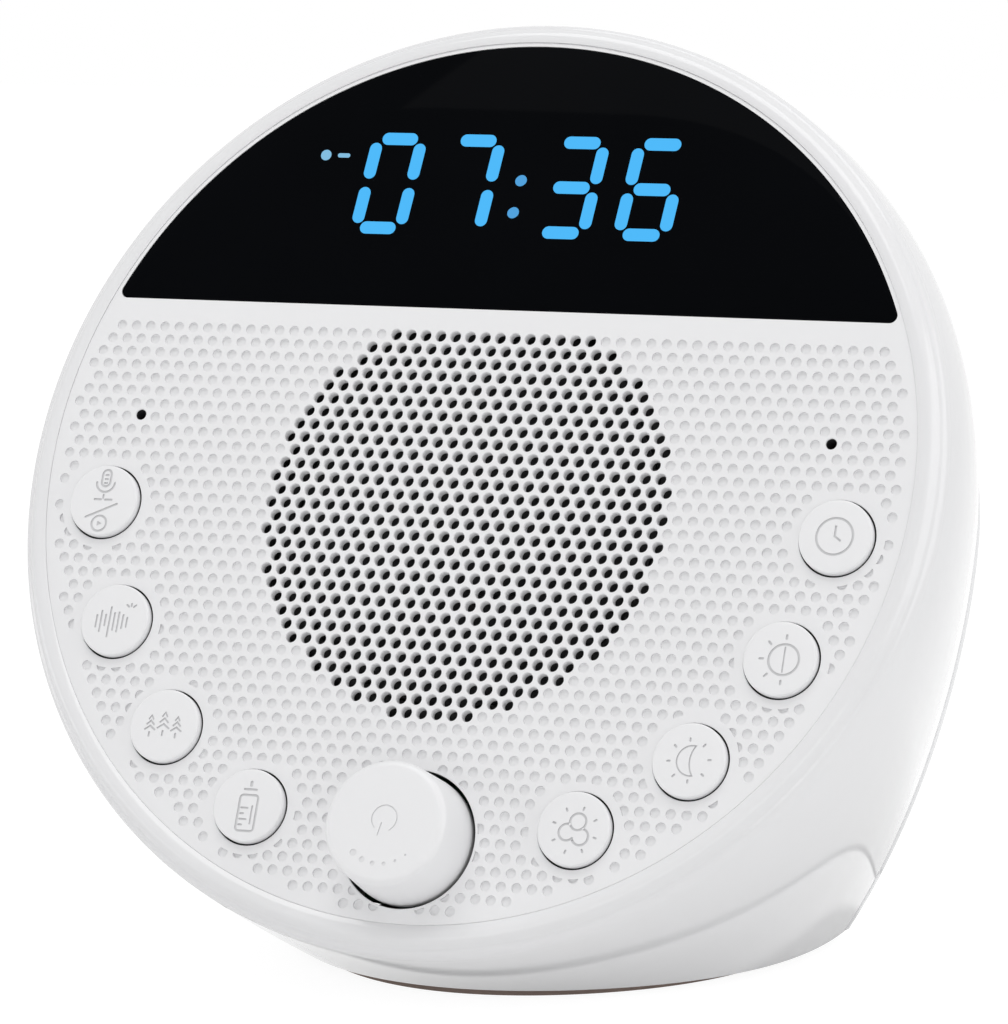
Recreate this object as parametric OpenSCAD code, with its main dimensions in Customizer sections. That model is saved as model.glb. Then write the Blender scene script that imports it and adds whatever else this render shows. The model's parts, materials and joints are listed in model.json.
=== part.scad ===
// Bedside sound machine with a clock.
// A round face leans back on a glossy housing that blends into an upright rear outline.
// Millimetres. X is to the right, Y is to the back, Z is up.
// The origin is the middle of the rubber foot on the table.

/* [Face] */
// Radius of the round opening that the front panel sits in
face_r = 60; // [58:0.5:62]
// How far the face leans back from upright, in degrees
face_tilt = 24.6; // [22:0.1:27]
// Height of the face centre above the table
face_height = 67.1; // [65:0.1:70]
// Thickness of the front panel
panel_t = 2; // [1.6:0.1:2.6]
// Gap round the front panel
panel_gap = 0.25; // [0.15:0.05:0.4]

/* [Housing] */
// Width of the bezel between the opening and the outside
bezel_w = 3.65; // [3.2:0.05:5]
// How far the bezel stands above the front panel
bezel_rise = 0.45; // [0.2:0.05:1]
// Width of the bezel's raised ring
ring_w = 2.6; // [2.3:0.05:2.9]
// Distance from the bezel's inner edge to the crest of the ring
ring_slope = 1.5; // [1.2:0.1:2]
// Depth of the groove between the raised ring and the housing's shoulder
groove_depth = 1; // [0.6:0.1:1.4]
// How deep the bezel's outer edge rolls back
bezel_roll = 2.9; // [2:0.1:3.5]
// How far the bezel is lowered against the face centre
bezel_drop = 0.3; // [0:0.1:0.8]
// Distance from the face centre to the back of the rear cover
body_depth = 49.9; // [48:0.1:55]
// Wall of the housing
wall = 2.4; // [2:0.1:2.8]
// Half the width of the rear outline
rear_half_w = 53.3; // [52:0.1:55]
// Rise of the rear outline above its widest level
rear_rise = 57.8; // [55:0.1:59]
// Fall of the rear outline below its widest level, before the flat bottom cuts it
rear_fall = 81.1; // [79:0.1:84]
// How far the widest level of the rear outline lies below the face centre
rear_drop = 9.4; // [7:0.1:11]
// How much fuller than an ellipse the lower rear outline is
rear_lower_power = 1.25; // [1.1:0.01:1.3]
// Thickness of the rear cover
cover_t = 2.2; // [1.8:0.1:3]
// Thickness of the rubber foot
foot_t = 1.1; // [0.5:0.1:1.5]
// How far the rubber foot is set in from the edge of the bottom
foot_inset = 0.3; // [0.3:0.1:2]

/* [Speaker] */
// How far the speaker's axis lies below the face centre
speaker_drop = 5.1; // [4.5:0.1:5.6]
// Distance from the edge of the face to the outside of the speaker's flange
speaker_rim = 29; // [28.8:0.1:29.4]
// Thickness of the speaker gasket
gasket_t = 3; // [2.4:0.1:3.6]
// Distance between neighbouring grille holes
hole_pitch = 2.1; // [2:0.05:2.4]
// Radius of one grille hole
hole_r = 0.74; // [0.5:0.01:0.78]
// Thickness of the panel behind the grille
grille_t = 1.2; // [1:0.1:1.6]
// Distance from the outside of the speaker's flange to the edge of the grille
grille_inset = 2.8; // [2.6:0.1:12]
// How far the speaker cone can travel each way
cone_travel = 0.8; // [0.4:0.1:1]

/* [Buttons] */
// Radius of a button cap
button_r = 4.85; // [4.5:0.05:5.05]
// Gap round a button cap
button_gap = 0.22; // [0.15:0.01:0.3]
// How far a button cap stands above the panel
button_rise = 0.95; // [0.5:0.05:1.2]
// Distance from the edge of the face to the button axes
button_rim = 8.6; // [8.2:0.1:9.2]
// Angle of the uppermost button below the horizontal
button_start = 7.15; // [6.5:0.05:8]
// Angle between neighbouring buttons
button_step = 19; // [18.7:0.05:19.3]
// Travel of a button
button_travel = 0.5; // [0.3:0.05:0.6]

/* [Microphones] */
// Distance from the edge of the face to a microphone pinhole
mic_rim = 11.3; // [10.9:0.1:12.1]
// Height of the pinholes above the face centre
mic_y = 6.05; // [4:0.05:8]
// Radius of a pinhole
pinhole_r = 0.65; // [0.4:0.05:0.8]

/* [Knob] */
// Distance from the edge of the face to the knob's axis
knob_rim = 11.1; // [10.8:0.1:11.5]
// Radius of the knob at the panel
knob_r = 8.6; // [8.2:0.05:8.8]
// Radius of the knob below its rounded top edge
knob_top_r = 8.2; // [7.6:0.05:8.5]
// Height of the knob above the panel
knob_h = 8.2; // [7.8:0.1:10]
// Gap round the knob
knob_gap = 0.5; // [0.3:0.05:0.6]
// Travel of the knob's push switch
knob_travel = 0.5; // [0.3:0.05:0.5]

/* [Display] */
// Height of the lens, from its straight edge to the edge of the face
lens_h = 37.6; // [34:0.1:40]
// Thickness of the lens
lens_t = 1.2; // [1:0.05:1.4]
// Gap between the lens's round edge and the panel's edge
lens_rim = 0.3; // [0.25:0.05:1.5]
// Distance from the edge of the face to the display block's upper corners
display_corner = 3.1; // [3.1:0.1:5]
// Height of the display block
display_h = 16.8; // [15:0.1:17]
// Distance from the edge of the face to the display block's middle
display_rim = 20.4; // [20.2:0.1:21]

/* [Boards] */
// Thickness of a circuit board
board_t = 1.6; // [1:0.1:2]
// Distance from the panel's front to the front board
board_depth = 9.7; // [9.7:0.1:10.5]
// Width of the main board
main_w = 58; // [50:1:60]
// Height of the main board
main_h = 34; // [30:1:36]
// Height of the main board's lower edge above the table
main_foot = 8; // [7:0.5:10]
// Height of the power socket above the table
usb_height = 15; // [14:0.5:18]

/* [Hidden] */

$fn = 64;
eps = 0.01;

// Places of the face and of the back
foot_mid = 20.9;
face_y = -foot_mid;
rear_y = face_y + body_depth;
seam_y = rear_y - cover_t;
rear_mid_z = face_height - rear_drop;
bezel_r = face_r + bezel_w;
groove_r = face_r + ring_w;
bezel_overlap = 0.6;
bezel_sink = 0.35;
crest_r = face_r - bezel_overlap + ring_slope;

// Places on the face
button_ring_r = face_r - button_rim;
mic_x = sqrt(pow(face_r - mic_rim, 2) - mic_y * mic_y);
knob_drop = face_r - knob_rim;
lens_bottom = face_r - lens_h;
display_mid = face_r - display_rim;
display_half_w = sqrt(pow(face_r - display_corner, 2) - pow(display_mid + display_h / 2, 2));
speaker_r = face_r - speaker_rim;
grille_r = speaker_r - grille_inset;

// Skin of the housing
around = 72;
crest_steps = 12;
slope_share = 1 / 4;
ring_share = 2 / 3;
loft_steps = 9;
inner_steps = 6;
floor_t = 2;
swell_side = 10;
swell_top = 14;
swell_bottom = 46;
flare_side = 2.1;
flare_top = 1.8;
flare_bottom = -1.9;

// Layers behind the panel's front, as depths
ledge_t = 2;
ledge_w = 2.4;
flange_gap = 0.15;
cap_flange_t = 1;
switch_depth = 6.3;
plunger_r = 1.7;
plunger_rise = button_travel + 0.4;
plunger_tail = 1.2;
display_gap = 0.3;
lens_gap = 0.1;
lens_sink = 0.1;
lens_corner = 1;
window_edge = 1;

// Screws
screw_r = 1.25;
screw_head_r = 2.3;
screw_head_t = 1.6;
shank_r = screw_r - 0.25;
pilot_r = screw_r - 0.2;
clear_r = screw_r + 0.15;
recess_r = screw_head_r + 0.2;
boss_r = 2.4;
lug_r = 3.2;
lug_ring_r = face_r - 5.2;
lug_top = panel_t + 4.2;
lug_t = 2;
lug_angles = [90, 14, 166, -35.7, 215.7, -77, 257];

// Speaker
gasket_back = panel_t + gasket_t;
flange_t = 0.8;
flange_back = gasket_back + flange_t;
speaker_lug_r = speaker_r + boss_r + 0.2;
speaker_lug_angles = [45, 135, 225, 315];
basket_depth = 12.1;
basket_wall = 0.9;
basket_floor_r = speaker_r - 12;
basket_back = flange_back + basket_depth;
surround_r = speaker_r - 2.8;
cone_r = surround_r - 3.3;
neck_rise = cone_travel + 3.6;
coil_r = 7.5;
coil_dip = cone_travel + 2.4;
coil_wall = 0.75;
coil_gap = 0.32;
plate_t = 2;
magnet_t = 8;
magnet_r = 18;
magnet_bore_r = coil_r + 3;
yoke_t = 2.5;
plate_back = basket_back + plate_t;
magnet_back = plate_back + magnet_t;
yoke_back = magnet_back + yoke_t;

// Knob and encoder
shaft_r = 3;
shaft_gap = 0.05;
encoder_w = 12;
encoder_h = 6.5;
encoder_front = board_depth - encoder_h;
bushing_r = 3.6;
bushing_h = 3;
collar_r = 3.7;
collar_t = 1.2;
collar_drop = 1.8;
encoder_floor = 0.4;
push_pin_r = 2;

// Main board
main_post = 3.7;
main_back = seam_y - main_post;
main_front = main_back - board_t;
main_top = main_foot + main_h;
main_mid = main_foot + main_h / 2;
main_inset = 3.5;
usb_w = 8.9;
usb_h = 3.2;
usb_gap = 0.25;
cell_r = 10;
cell_t = 3.2;
cell_x = 13 - main_w / 2;
main_chip = [7, 1, 7];
amplifier = [6, 1.6, 9];
amplifier_inset = 9;
small_chip = [5, 1.6, 4];

// A point given in face coordinates: x right, y up the face, z out of the face
function face_point(x, y, z) = [
    x,
    face_y + y * sin(face_tilt) - z * cos(face_tilt),
    face_height + y * cos(face_tilt) + z * sin(face_tilt)
];

module on_face() {
    translate([0, face_y, face_height])
        rotate([90 - face_tilt, 0, 0])
            children();
}

// A value that differs at the side, the top and the bottom of the housing
function blend(a, side, top, bottom) =
    side * cos(a) * cos(a) + (sin(a) > 0 ? top : bottom) * sin(a) * sin(a);

// The rear outline at the angle a, set in by inset, in the X-Z plane
function rear_rim(a, inset) = [
    (rear_half_w - inset) * cos(a),
    rear_mid_z + (sin(a) > 0
        ? (rear_rise - inset) * sin(a)
        : -(rear_fall - inset) * pow(-sin(a), rear_lower_power))
];

function ring_point(a, r, z) = face_point(r * cos(a), r * sin(a) - bezel_drop, z);

// A point of the side wall, from the bezel at v = 0 to the seam at v = 1
function side_point(a, v, inset, start_depth) =
    let (
        reach = blend(a, swell_side, swell_top, swell_bottom),
        flare = blend(a, flare_side, flare_top, flare_bottom),
        start = ring_point(a, bezel_r - inset, -start_depth),
        pull = ring_point(a, bezel_r + flare - inset, -bezel_roll - reach),
        rim = rear_rim(a, inset),
        end = [rim[0], seam_y, rim[1]]
    )
    (1 - v) * (1 - v) * start + 2 * v * (1 - v) * pull + v * v * end;

// The bezel's profile in three parts, each from k = 0 to k = 1: up to the crest, down into the groove, and
// over the shoulder
function slope_point(a, k) = ring_point(
    a,
    crest_r - ring_slope * (1 - k),
    bezel_rise - (bezel_rise + bezel_sink) * pow(1 - k, 2)
);
function ring_top_point(a, k) = ring_point(
    a,
    crest_r + (groove_r - crest_r) * k,
    bezel_rise - (bezel_rise + groove_depth) * pow(k, 3)
);
function shoulder_point(a, k) = ring_point(
    a,
    groove_r + (bezel_r - groove_r) * sin(90 * k),
    -groove_depth - (bezel_roll - groove_depth) * (1 - cos(90 * k))
);

// A point of the bezel, from its inner edge at k = 0 to its outer edge at k = 1
function crest_point(a, k) =
    k < slope_share ? slope_point(a, k / slope_share)
        : k < ring_share ? ring_top_point(a, (k - slope_share) / (ring_share - slope_share))
        : shoulder_point(a, (k - ring_share) / (1 - ring_share));

// A closed solid from rings of points, each ring with the same number of points
module loft(rings) {
    n = len(rings[0]);
    m = len(rings);
    points = [for (ring = rings) for (p = ring) p];
    sides = [
        for (j = [0 : m - 2]) for (i = [0 : n - 1])
            let (a = j * n + i, b = j * n + (i + 1) % n)
            each [[a, b + n, a + n], [a, b, b + n]]
    ];
    front = [[for (i = [n - 1 : -1 : 0]) i]];
    back = [[for (i = [0 : n - 1]) (m - 1) * n + i]];
    polyhedron(points = points, faces = concat(front, sides, back), convexity = 6);
}

turns = [for (i = [0 : around - 1]) i * 360 / around];

// Everything inside the housing's outer skin
module skin(inset = 0) {
    loft(concat(
        [for (k = [0 : crest_steps - 1]) [for (a = turns) crest_point(a, k / crest_steps)]],
        [for (j = [0 : loft_steps]) [for (a = turns) side_point(a, j / loft_steps, inset, bezel_roll)]]
    ));
}

// The space inside the housing, open at the back
module cavity() {
    loft(concat(
        [for (j = [0 : inner_steps]) [for (a = turns) side_point(a, j / inner_steps, wall, panel_t + ledge_t)]],
        [[for (a = turns) let (rim = rear_rim(a, wall)) [rim[0], seam_y + 1, rim[1]]]]
    ));
}

module above(z) {
    translate([-100, -100, z])
        cube([200, 200, 200]);
}

// A bar along Y between two depths, at x and z
module bar(x, z, r, y1, y2) {
    translate([x, y2, z])
        rotate([90, 0, 0])
            cylinder(h = y2 - y1, r = r);
}

// A flat sheet in the X-Z plane between two depths
module sheet(y1, y2) {
    translate([0, y2, 0])
        rotate([90, 0, 0])
            linear_extrude(y2 - y1)
                children();
}

module at_button(i) {
    side = i < 4 ? -1 : 1;
    down = button_start + (i % 4) * button_step;
    translate([side * button_ring_r * cos(down), -button_ring_r * sin(down), 0])
        children();
}

module at_each(spots) {
    for (s = spots)
        translate([s[0], s[1], 0])
            children();
}

// A disc between two depths behind the face
module slab(r, z1, z2) {
    translate([0, 0, z1])
        cylinder(h = z2 - z1, r = r);
}

function on_circle(r, a) = [r * cos(a), r * sin(a)];

lug_spots = [for (a = lug_angles) on_circle(lug_ring_r, a)];
post_spots = concat(
    [for (a = [31, 149]) on_circle(face_r - 13.4, a)],
    [for (a = [-71, -109]) on_circle(face_r - 17.2, a)]
);
speaker_lugs = [for (a = speaker_lug_angles) on_circle(speaker_lug_r, a) - [0, speaker_drop]];
mic_spots = [[mic_x, mic_y], [-mic_x, mic_y]];
knob_spot = [[0, -knob_drop]];

// Rear cover screws: angles round the rear outline
cover_boss_angles = [38, 142, -47, -133];
cover_boss_r = 3.2;
cover_boss_l = 9;
cover_pilot_l = 8;
cover_boss_sink = 1.6;
cover_spots = [for (a = cover_boss_angles) rear_rim(a, wall + cover_boss_r - cover_boss_sink)];

// Casing ---------------------------------------------------------------

module housing() {
    color("white")
    difference() {
        union() {
            difference() {
                intersection() {
                    skin();
                    above(foot_t);
                }
                intersection() {
                    cavity();
                    above(foot_t + floor_t);
                }
                on_face() {
                    slab(face_r, -panel_t, bezel_rise + 1);
                    slab(face_r - ledge_w, -panel_t - ledge_t - 1, -panel_t + 1);
                }
            }
            on_face()
                for (a = lug_angles)
                    rotate([0, 0, a])
                        lug_arm();
            for (s = cover_spots)
                bar(s[0], s[1], cover_boss_r, seam_y - cover_boss_l, seam_y);
        }
        on_face()
            at_each(lug_spots)
                slab(clear_r, -lug_top - lug_t - 1, -lug_top + 1);
        for (s = cover_spots)
            bar(s[0], s[1], pilot_r, seam_y - cover_pilot_l, seam_y + 1);
    }
}

// One lug: a flat eye under the panel's boss, on an arm from the wall and the ledge
module lug_arm() {
    wall_reach = bezel_r - wall + 0.6;
    post_start = face_r - ledge_w + 0.3;
    translate([lug_ring_r, 0, -lug_top - lug_t])
        cylinder(h = lug_t, r = lug_r);
    translate([lug_ring_r, -lug_r, -lug_top - lug_t])
        cube([wall_reach - lug_ring_r, 2 * lug_r, lug_t]);
    translate([post_start, -lug_r, -lug_top - lug_t])
        cube([wall_reach - post_start, 2 * lug_r, lug_top + lug_t - panel_t - ledge_t + 0.5]);
}

// Rows of the hexagonal hole pattern: row 1 passes through the speaker's axis
row_h = hole_pitch * sqrt(3) / 2;
grille_rows = floor(grille_r / row_h);
grille_columns = ceil(grille_r / hole_pitch);
function row_y(j) = (j - 1) * row_h - speaker_drop;
function in_row(j, i) = (i + (j % 2 == 0 ? 0.5 : 0)) * hole_pitch;
function row_half(j) = sqrt(max(0, grille_r * grille_r - pow((j - 1) * row_h, 2)));

// Holes inside the round field whose row stays clear of the lens
grille_spots = [
    for (j = [1 - grille_rows : 1 + grille_rows]) for (i = [-grille_columns : grille_columns])
        if (abs(in_row(j, i)) <= row_half(j) && row_y(j) < lens_bottom - hole_pitch)
            [in_row(j, i), row_y(j)]
];

lens_r = face_r - panel_gap - lens_rim;

// Outline of the lens: a segment of a circle with rounded corners
module lens_outline(r, bottom, corner) {
    reach = r - corner;
    rise = bottom + corner;
    half = sqrt(reach * reach - rise * rise);
    intersection() {
        circle(r = r, $fn = 180);
        union() {
            translate([-r, rise])
                square([2 * r, r]);
            translate([-half, bottom])
                square([2 * half, 2 * corner]);
            for (s = [-1, 1])
                translate([s * half, rise])
                    circle(r = corner, $fn = 32);
        }
    }
}

module front_panel() {
    color("whitesmoke")
    on_face()
    difference() {
        union() {
            translate([0, 0, -panel_t])
                linear_extrude(panel_t)
                    panel_outline();
            at_each(lug_spots)
                slab(boss_r, -lug_top, -panel_t + eps);
            at_each(post_spots)
                slab(boss_r, -board_depth, -panel_t + eps);
            at_each(speaker_lugs)
                slab(boss_r, -gasket_back, -panel_t + eps);
        }
        translate([0, 0, -lens_t - lens_sink])
            linear_extrude(lens_t + 1)
                lens_outline(lens_r, lens_bottom, lens_corner);
        translate([0, 0, -panel_t - 1])
            linear_extrude(panel_t + 1 - grille_t)
                grille_recess();
        at_each(lug_spots)
            slab(pilot_r, -lug_top - 1, -panel_t);
        at_each(post_spots)
            slab(pilot_r, -board_depth - 1, -panel_t);
        at_each(speaker_lugs)
            slab(pilot_r, -gasket_back - 1, -panel_t + 0.8);
    }
}

// The round hollow behind the grille, inside the gasket and below the lens
module grille_recess() {
    r = speaker_r - 1.9;
    intersection() {
        translate([0, -speaker_drop])
            circle(r = r, $fn = 120);
        translate([-r, lens_bottom - 1.2 - 2 * r])
            square(2 * r);
    }
}

// The panel seen from the front, with everything that goes right through it
module panel_outline() {
    difference() {
        circle(r = face_r - panel_gap, $fn = 180);
        translate([window_edge - display_half_w, display_mid - display_h / 2 + window_edge])
            square([2 * (display_half_w - window_edge), display_h - 2 * window_edge]);
        for (i = [0 : 7])
            at_button(i)
                circle(r = button_r + button_gap);
        at_each(knob_spot)
            circle(r = knob_r + knob_gap);
        at_each(mic_spots)
            circle(r = pinhole_r, $fn = 24);
        at_each(grille_spots)
            circle(r = hole_r, $fn = 24);
    }
}

module display_lens() {
    color("black")
    on_face()
        translate([0, 0, -lens_t - lens_sink])
            linear_extrude(lens_t)
                lens_outline(lens_r - lens_gap, lens_bottom + lens_gap, lens_corner - lens_gap);
}

// The rear outline above the flat bottom
module rear_outline(inset) {
    intersection() {
        polygon([for (a = turns) rear_rim(a, inset)]);
        translate([-100, foot_t])
            square([200, 200]);
    }
}

module rear_cover() {
    spigot_gap = 0.2;
    spigot_w = 1.4;
    spigot_l = 3;
    color("white")
    difference() {
        union() {
            sheet(seam_y, rear_y)
                rear_outline(0);
            sheet(seam_y - spigot_l, seam_y + eps)
                difference() {
                    intersection() {
                        rear_outline(wall + spigot_gap);
                        translate([-100, foot_t + floor_t + spigot_gap])
                            square([200, 200]);
                    }
                    intersection() {
                        rear_outline(wall + spigot_gap + spigot_w);
                        translate([-100, foot_t + floor_t + spigot_gap + spigot_w])
                            square([200, 200]);
                    }
                    for (s = cover_spots)
                        translate(s)
                            circle(r = cover_boss_r + 0.4);
                }
            for (s = main_spots)
                bar(s[0], s[1], boss_r, main_back, seam_y + eps);
        }
        usb_slot(usb_gap, seam_y - 1, rear_y + 1);
        for (s = cover_spots)
            bar(s[0], s[1], clear_r, seam_y - 1, rear_y + 1);
        for (s = cover_spots)
            bar(s[0], s[1], recess_r, rear_y - screw_head_t, rear_y + 1);
        for (s = main_spots)
            bar(s[0], s[1], pilot_r, main_back - 1, seam_y);
    }
}

// A long round-ended bar, the shape of the power socket
module usb_slot(grow, y1, y2) {
    half = (usb_w - usb_h) / 2;
    for (s = [-1, 1])
        bar(s * half, usb_height, usb_h / 2 + grow, y1, y2);
    translate([-half, y1, usb_height - usb_h / 2 - grow])
        cube([2 * half, y2 - y1, usb_h + 2 * grow]);
}

module rubber_foot() {
    color("dimgray")
    intersection() {
        skin(foot_inset);
        translate([-100, -100, 0])
            cube([200, 100 + seam_y - foot_inset, foot_t]);
    }
}

// Display and front board ----------------------------------------------

module display_module() {
    color("#202020")
    on_face()
        translate([-display_half_w, display_mid - display_h / 2, -board_depth])
            cube([2 * display_half_w, display_h, board_depth - panel_t - display_gap]);
}

board_r = face_r - 4.5;
board_hole_r = speaker_r + 2;

module front_board() {
    color("darkgreen")
    on_face()
        translate([0, 0, -board_depth - board_t])
            linear_extrude(board_t)
                difference() {
                    circle(r = board_r, $fn = 120);
                    translate([0, -speaker_drop])
                        circle(r = board_hole_r);
                    at_each(lug_spots)
                        circle(r = lug_r + 0.4);
                    at_each(post_spots)
                        circle(r = clear_r);
                }
}

module tact_switches() {
    size = 6;
    color("#303030")
    on_face()
        for (i = [0 : 7])
            at_button(i)
                difference() {
                    translate([-size / 2, -size / 2, -board_depth])
                        cube([size, size, board_depth - switch_depth]);
                    slab(plunger_r + 0.1, -switch_depth - plunger_tail - button_travel - 0.3, -switch_depth + 1);
                }
}

module night_light_leds() {
    ring_r = face_r - 16;
    size = [2.8, 3.5, 1.4];
    color("gold")
    on_face()
        for (a = [0 : 45 : 359])
            rotate([0, 0, a])
                translate([ring_r, -size[1] / 2, -board_depth - board_t - size[2]])
                    cube(size);
}

// Buttons ---------------------------------------------------------------

module button_cap(i) {
    edge = 0.5;
    flange_r = button_r + 0.85;
    flange_top = -panel_t - flange_gap;
    flange_low = flange_top - cap_flange_t;
    stem_low = -switch_depth + plunger_rise;
    stem_r = 1.9;
    crown = [for (a = [90 : -15 : 0]) [button_r - edge + edge * cos(a), button_rise - edge + edge * sin(a)]];
    color("white")
    on_face()
        at_button(i)
            rotate_extrude($fn = 72)
                polygon(concat(
                    [[0, button_rise]],
                    crown,
                    [
                        [button_r, flange_top], [flange_r, flange_top], [flange_r, flange_low],
                        [stem_r, flange_low], [stem_r, stem_low], [0, stem_low]
                    ]
                ));
}

module switch_plunger(i) {
    color("#a04030")
    on_face()
        at_button(i)
            slab(plunger_r, -switch_depth - plunger_tail, -switch_depth + plunger_rise);
}

module record_button() { button_cap(0); }
module sound_button() { button_cap(1); }
module nature_button() { button_cap(2); }
module lullaby_button() { button_cap(3); }
module clock_button() { button_cap(4); }
module brightness_button() { button_cap(5); }
module night_light_button() { button_cap(6); }
module color_button() { button_cap(7); }
module record_plunger() { switch_plunger(0); }
module sound_plunger() { switch_plunger(1); }
module nature_plunger() { switch_plunger(2); }
module lullaby_plunger() { switch_plunger(3); }
module clock_plunger() { switch_plunger(4); }
module brightness_plunger() { switch_plunger(5); }
module night_light_plunger() { switch_plunger(6); }
module color_plunger() { switch_plunger(7); }

// Knob -------------------------------------------------------------------

knob_roof = 1.5;
shaft_top = knob_h - knob_roof - 0.2;
push_pin_l = 1;
shaft_low = -board_depth + encoder_floor + push_pin_l + knob_travel + 0.1;
flat_from = bushing_h - encoder_front + knob_travel + 0.7;

// The D-shaped end of the shaft, between two heights
module d_shaft(r, z1, z2) {
    difference() {
        slab(r, z1, z2);
        translate([r - shaft_r + 1.5, -shaft_r * 2, z1 - 1])
            cube([shaft_r * 2, shaft_r * 4, z2 - z1 + 2]);
    }
}

module knob_cap() {
    edge = 1.1;
    skirt = -1.2;
    knob_wall = 1.3;
    hub_r = shaft_r + 1.4;
    hub_gap = 0.03;
    crown = [for (a = [90 : -15 : 0]) [knob_top_r - edge + edge * cos(a), knob_h - edge + edge * sin(a)]];
    color("white")
    on_face()
        at_each(knob_spot)
            difference() {
                union() {
                    rotate_extrude($fn = 96)
                        polygon(concat(
                            [[0, knob_h]],
                            crown,
                            [
                                [knob_r, 0], [knob_r, skirt], [knob_r - knob_wall, skirt],
                                [knob_top_r - knob_wall, knob_h - knob_roof], [0, knob_h - knob_roof]
                            ]
                        ));
                    slab(hub_r, flat_from + 0.1, knob_h - knob_roof + 0.1);
                }
                d_shaft(shaft_r + hub_gap, flat_from - 1, shaft_top + 0.1);
            }
}

module encoder_shaft() {
    color("silver")
    on_face()
        at_each(knob_spot) {
            slab(shaft_r, shaft_low, flat_from);
            d_shaft(shaft_r, flat_from - eps, shaft_top);
            slab(collar_r, -encoder_front - collar_drop - collar_t, -encoder_front - collar_drop);
        }
}

module encoder_plunger() {
    color("#d0c080")
    on_face()
        at_each(knob_spot)
            slab(push_pin_r, shaft_low - push_pin_l, shaft_low);
}

module encoder_body() {
    color("slategray")
    on_face()
        at_each(knob_spot)
            difference() {
                union() {
                    translate([-encoder_w / 2, -encoder_w / 2, -board_depth])
                        cube([encoder_w, encoder_w, encoder_h]);
                    slab(bushing_r, -encoder_front - eps, -encoder_front + bushing_h);
                }
                slab(shaft_r + shaft_gap, -board_depth + encoder_floor, bushing_h);
                slab(collar_r + 0.3, -board_depth + encoder_floor, -encoder_front - collar_drop + 0.8);
            }
}

// Microphones -------------------------------------------------------------

mic_h = 2.7;
mic_r = 3;

module microphones() {
    color("silver")
    on_face()
        at_each(mic_spots)
            slab(mic_r, -board_depth, -board_depth + mic_h);
}

module microphone_boots() {
    color("#252525")
    on_face()
        at_each(mic_spots)
            difference() {
                slab(mic_r + 0.3, -board_depth + mic_h, -panel_t);
                slab(pinhole_r + 0.25, -board_depth, 0);
            }
}

// Speaker -----------------------------------------------------------------

module on_speaker() {
    on_face()
        translate([0, -speaker_drop, 0])
            children();
}

// A turned ring: inner and outer radius, front and back depth
module ring(r1, r2, front, back) {
    rotate_extrude($fn = 96)
        translate([r1, -back])
            square([r2 - r1, back - front]);
}

module speaker_gasket() {
    color("#303030")
    on_speaker()
        ring(speaker_r - 1.7, speaker_r, panel_t, gasket_back);
}

module speaker_basket() {
    t = basket_wall;
    bore_r = coil_r + coil_wall + 0.65;
    window = [20, 12, basket_depth - t - 2.4];
    color("gray")
    on_speaker()
        difference() {
            union() {
                for (a = speaker_lug_angles)
                    rotate([0, 0, a])
                        basket_lug();
                rotate_extrude($fn = 96)
                    polygon([
                        [speaker_r, -gasket_back], [speaker_r, -flange_back],
                        [surround_r + 0.4, -flange_back], [basket_floor_r + t, -basket_back],
                        [bore_r, -basket_back], [bore_r, -basket_back + t],
                        [basket_floor_r, -basket_back + t], [surround_r, -flange_back],
                        [surround_r, -gasket_back]
                    ]);
            }
            for (a = [0 : 60 : 359])
                rotate([0, 0, a])
                    translate([basket_floor_r - 3, -window[1] / 2, -basket_back + t + 0.8])
                        cube(window);
            for (a = speaker_lug_angles)
                translate(concat(on_circle(speaker_lug_r, a), [0]))
                    slab(clear_r, -flange_back - 1, -gasket_back + 1);
        }
}

module basket_lug() {
    eye_r = 3.4;
    start = surround_r + 0.8;
    translate([speaker_lug_r, 0, -flange_back])
        cylinder(h = flange_t, r = eye_r);
    translate([start, -eye_r, -flange_back])
        cube([speaker_lug_r - start, 2 * eye_r, flange_t]);
}

// Half-round rubber roll between the basket and the cone
module speaker_surround() {
    inner = cone_r + 0.3;
    outer = surround_r - 0.1;
    mid = (inner + outer) / 2;
    half = (outer - inner) / 2;
    t = 0.4;
    color("#181818")
    on_speaker()
        rotate_extrude($fn = 96)
            polygon(concat(
                [for (a = [180 : -15 : 0]) [mid + half * cos(a), -gasket_back + 0.1 + (half - 0.6) * sin(a)]],
                [[speaker_r - 2, -gasket_back + 0.1], [speaker_r - 2, -gasket_back]],
                [[outer - t, -gasket_back]],
                [for (a = [15 : 15 : 165]) [mid + (half - t) * cos(a), -gasket_back + (half - 0.6 - t) * sin(a)]],
                [[inner + t, -gasket_back - 0.4], [inner, -gasket_back - 0.4]]
            ));
}

module speaker_cone() {
    t = 0.5;
    neck = neck_rise - basket_back;
    color("#2c2c2c")
    on_speaker()
        rotate_extrude($fn = 96)
            polygon([
                [cone_r, -gasket_back], [cone_r, -gasket_back - t], [coil_r + coil_wall, neck - t],
                [coil_r, neck - t], [coil_r, neck], [cone_r - t, -gasket_back]
            ]);
}

module dust_cap() {
    base = neck_rise - basket_back + 0.1;
    cap_r = coil_r;
    dome = 2.4;
    t = 0.4;
    color("#1c1c1c")
    on_speaker()
        rotate_extrude($fn = 96)
            polygon(concat(
                [for (a = [0 : 15 : 90]) [cap_r * cos(a), base + dome * sin(a)]],
                [for (a = [90 : -15 : 0]) [(cap_r - t) * cos(a), base + (dome - t) * sin(a)]]
            ));
}

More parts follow.
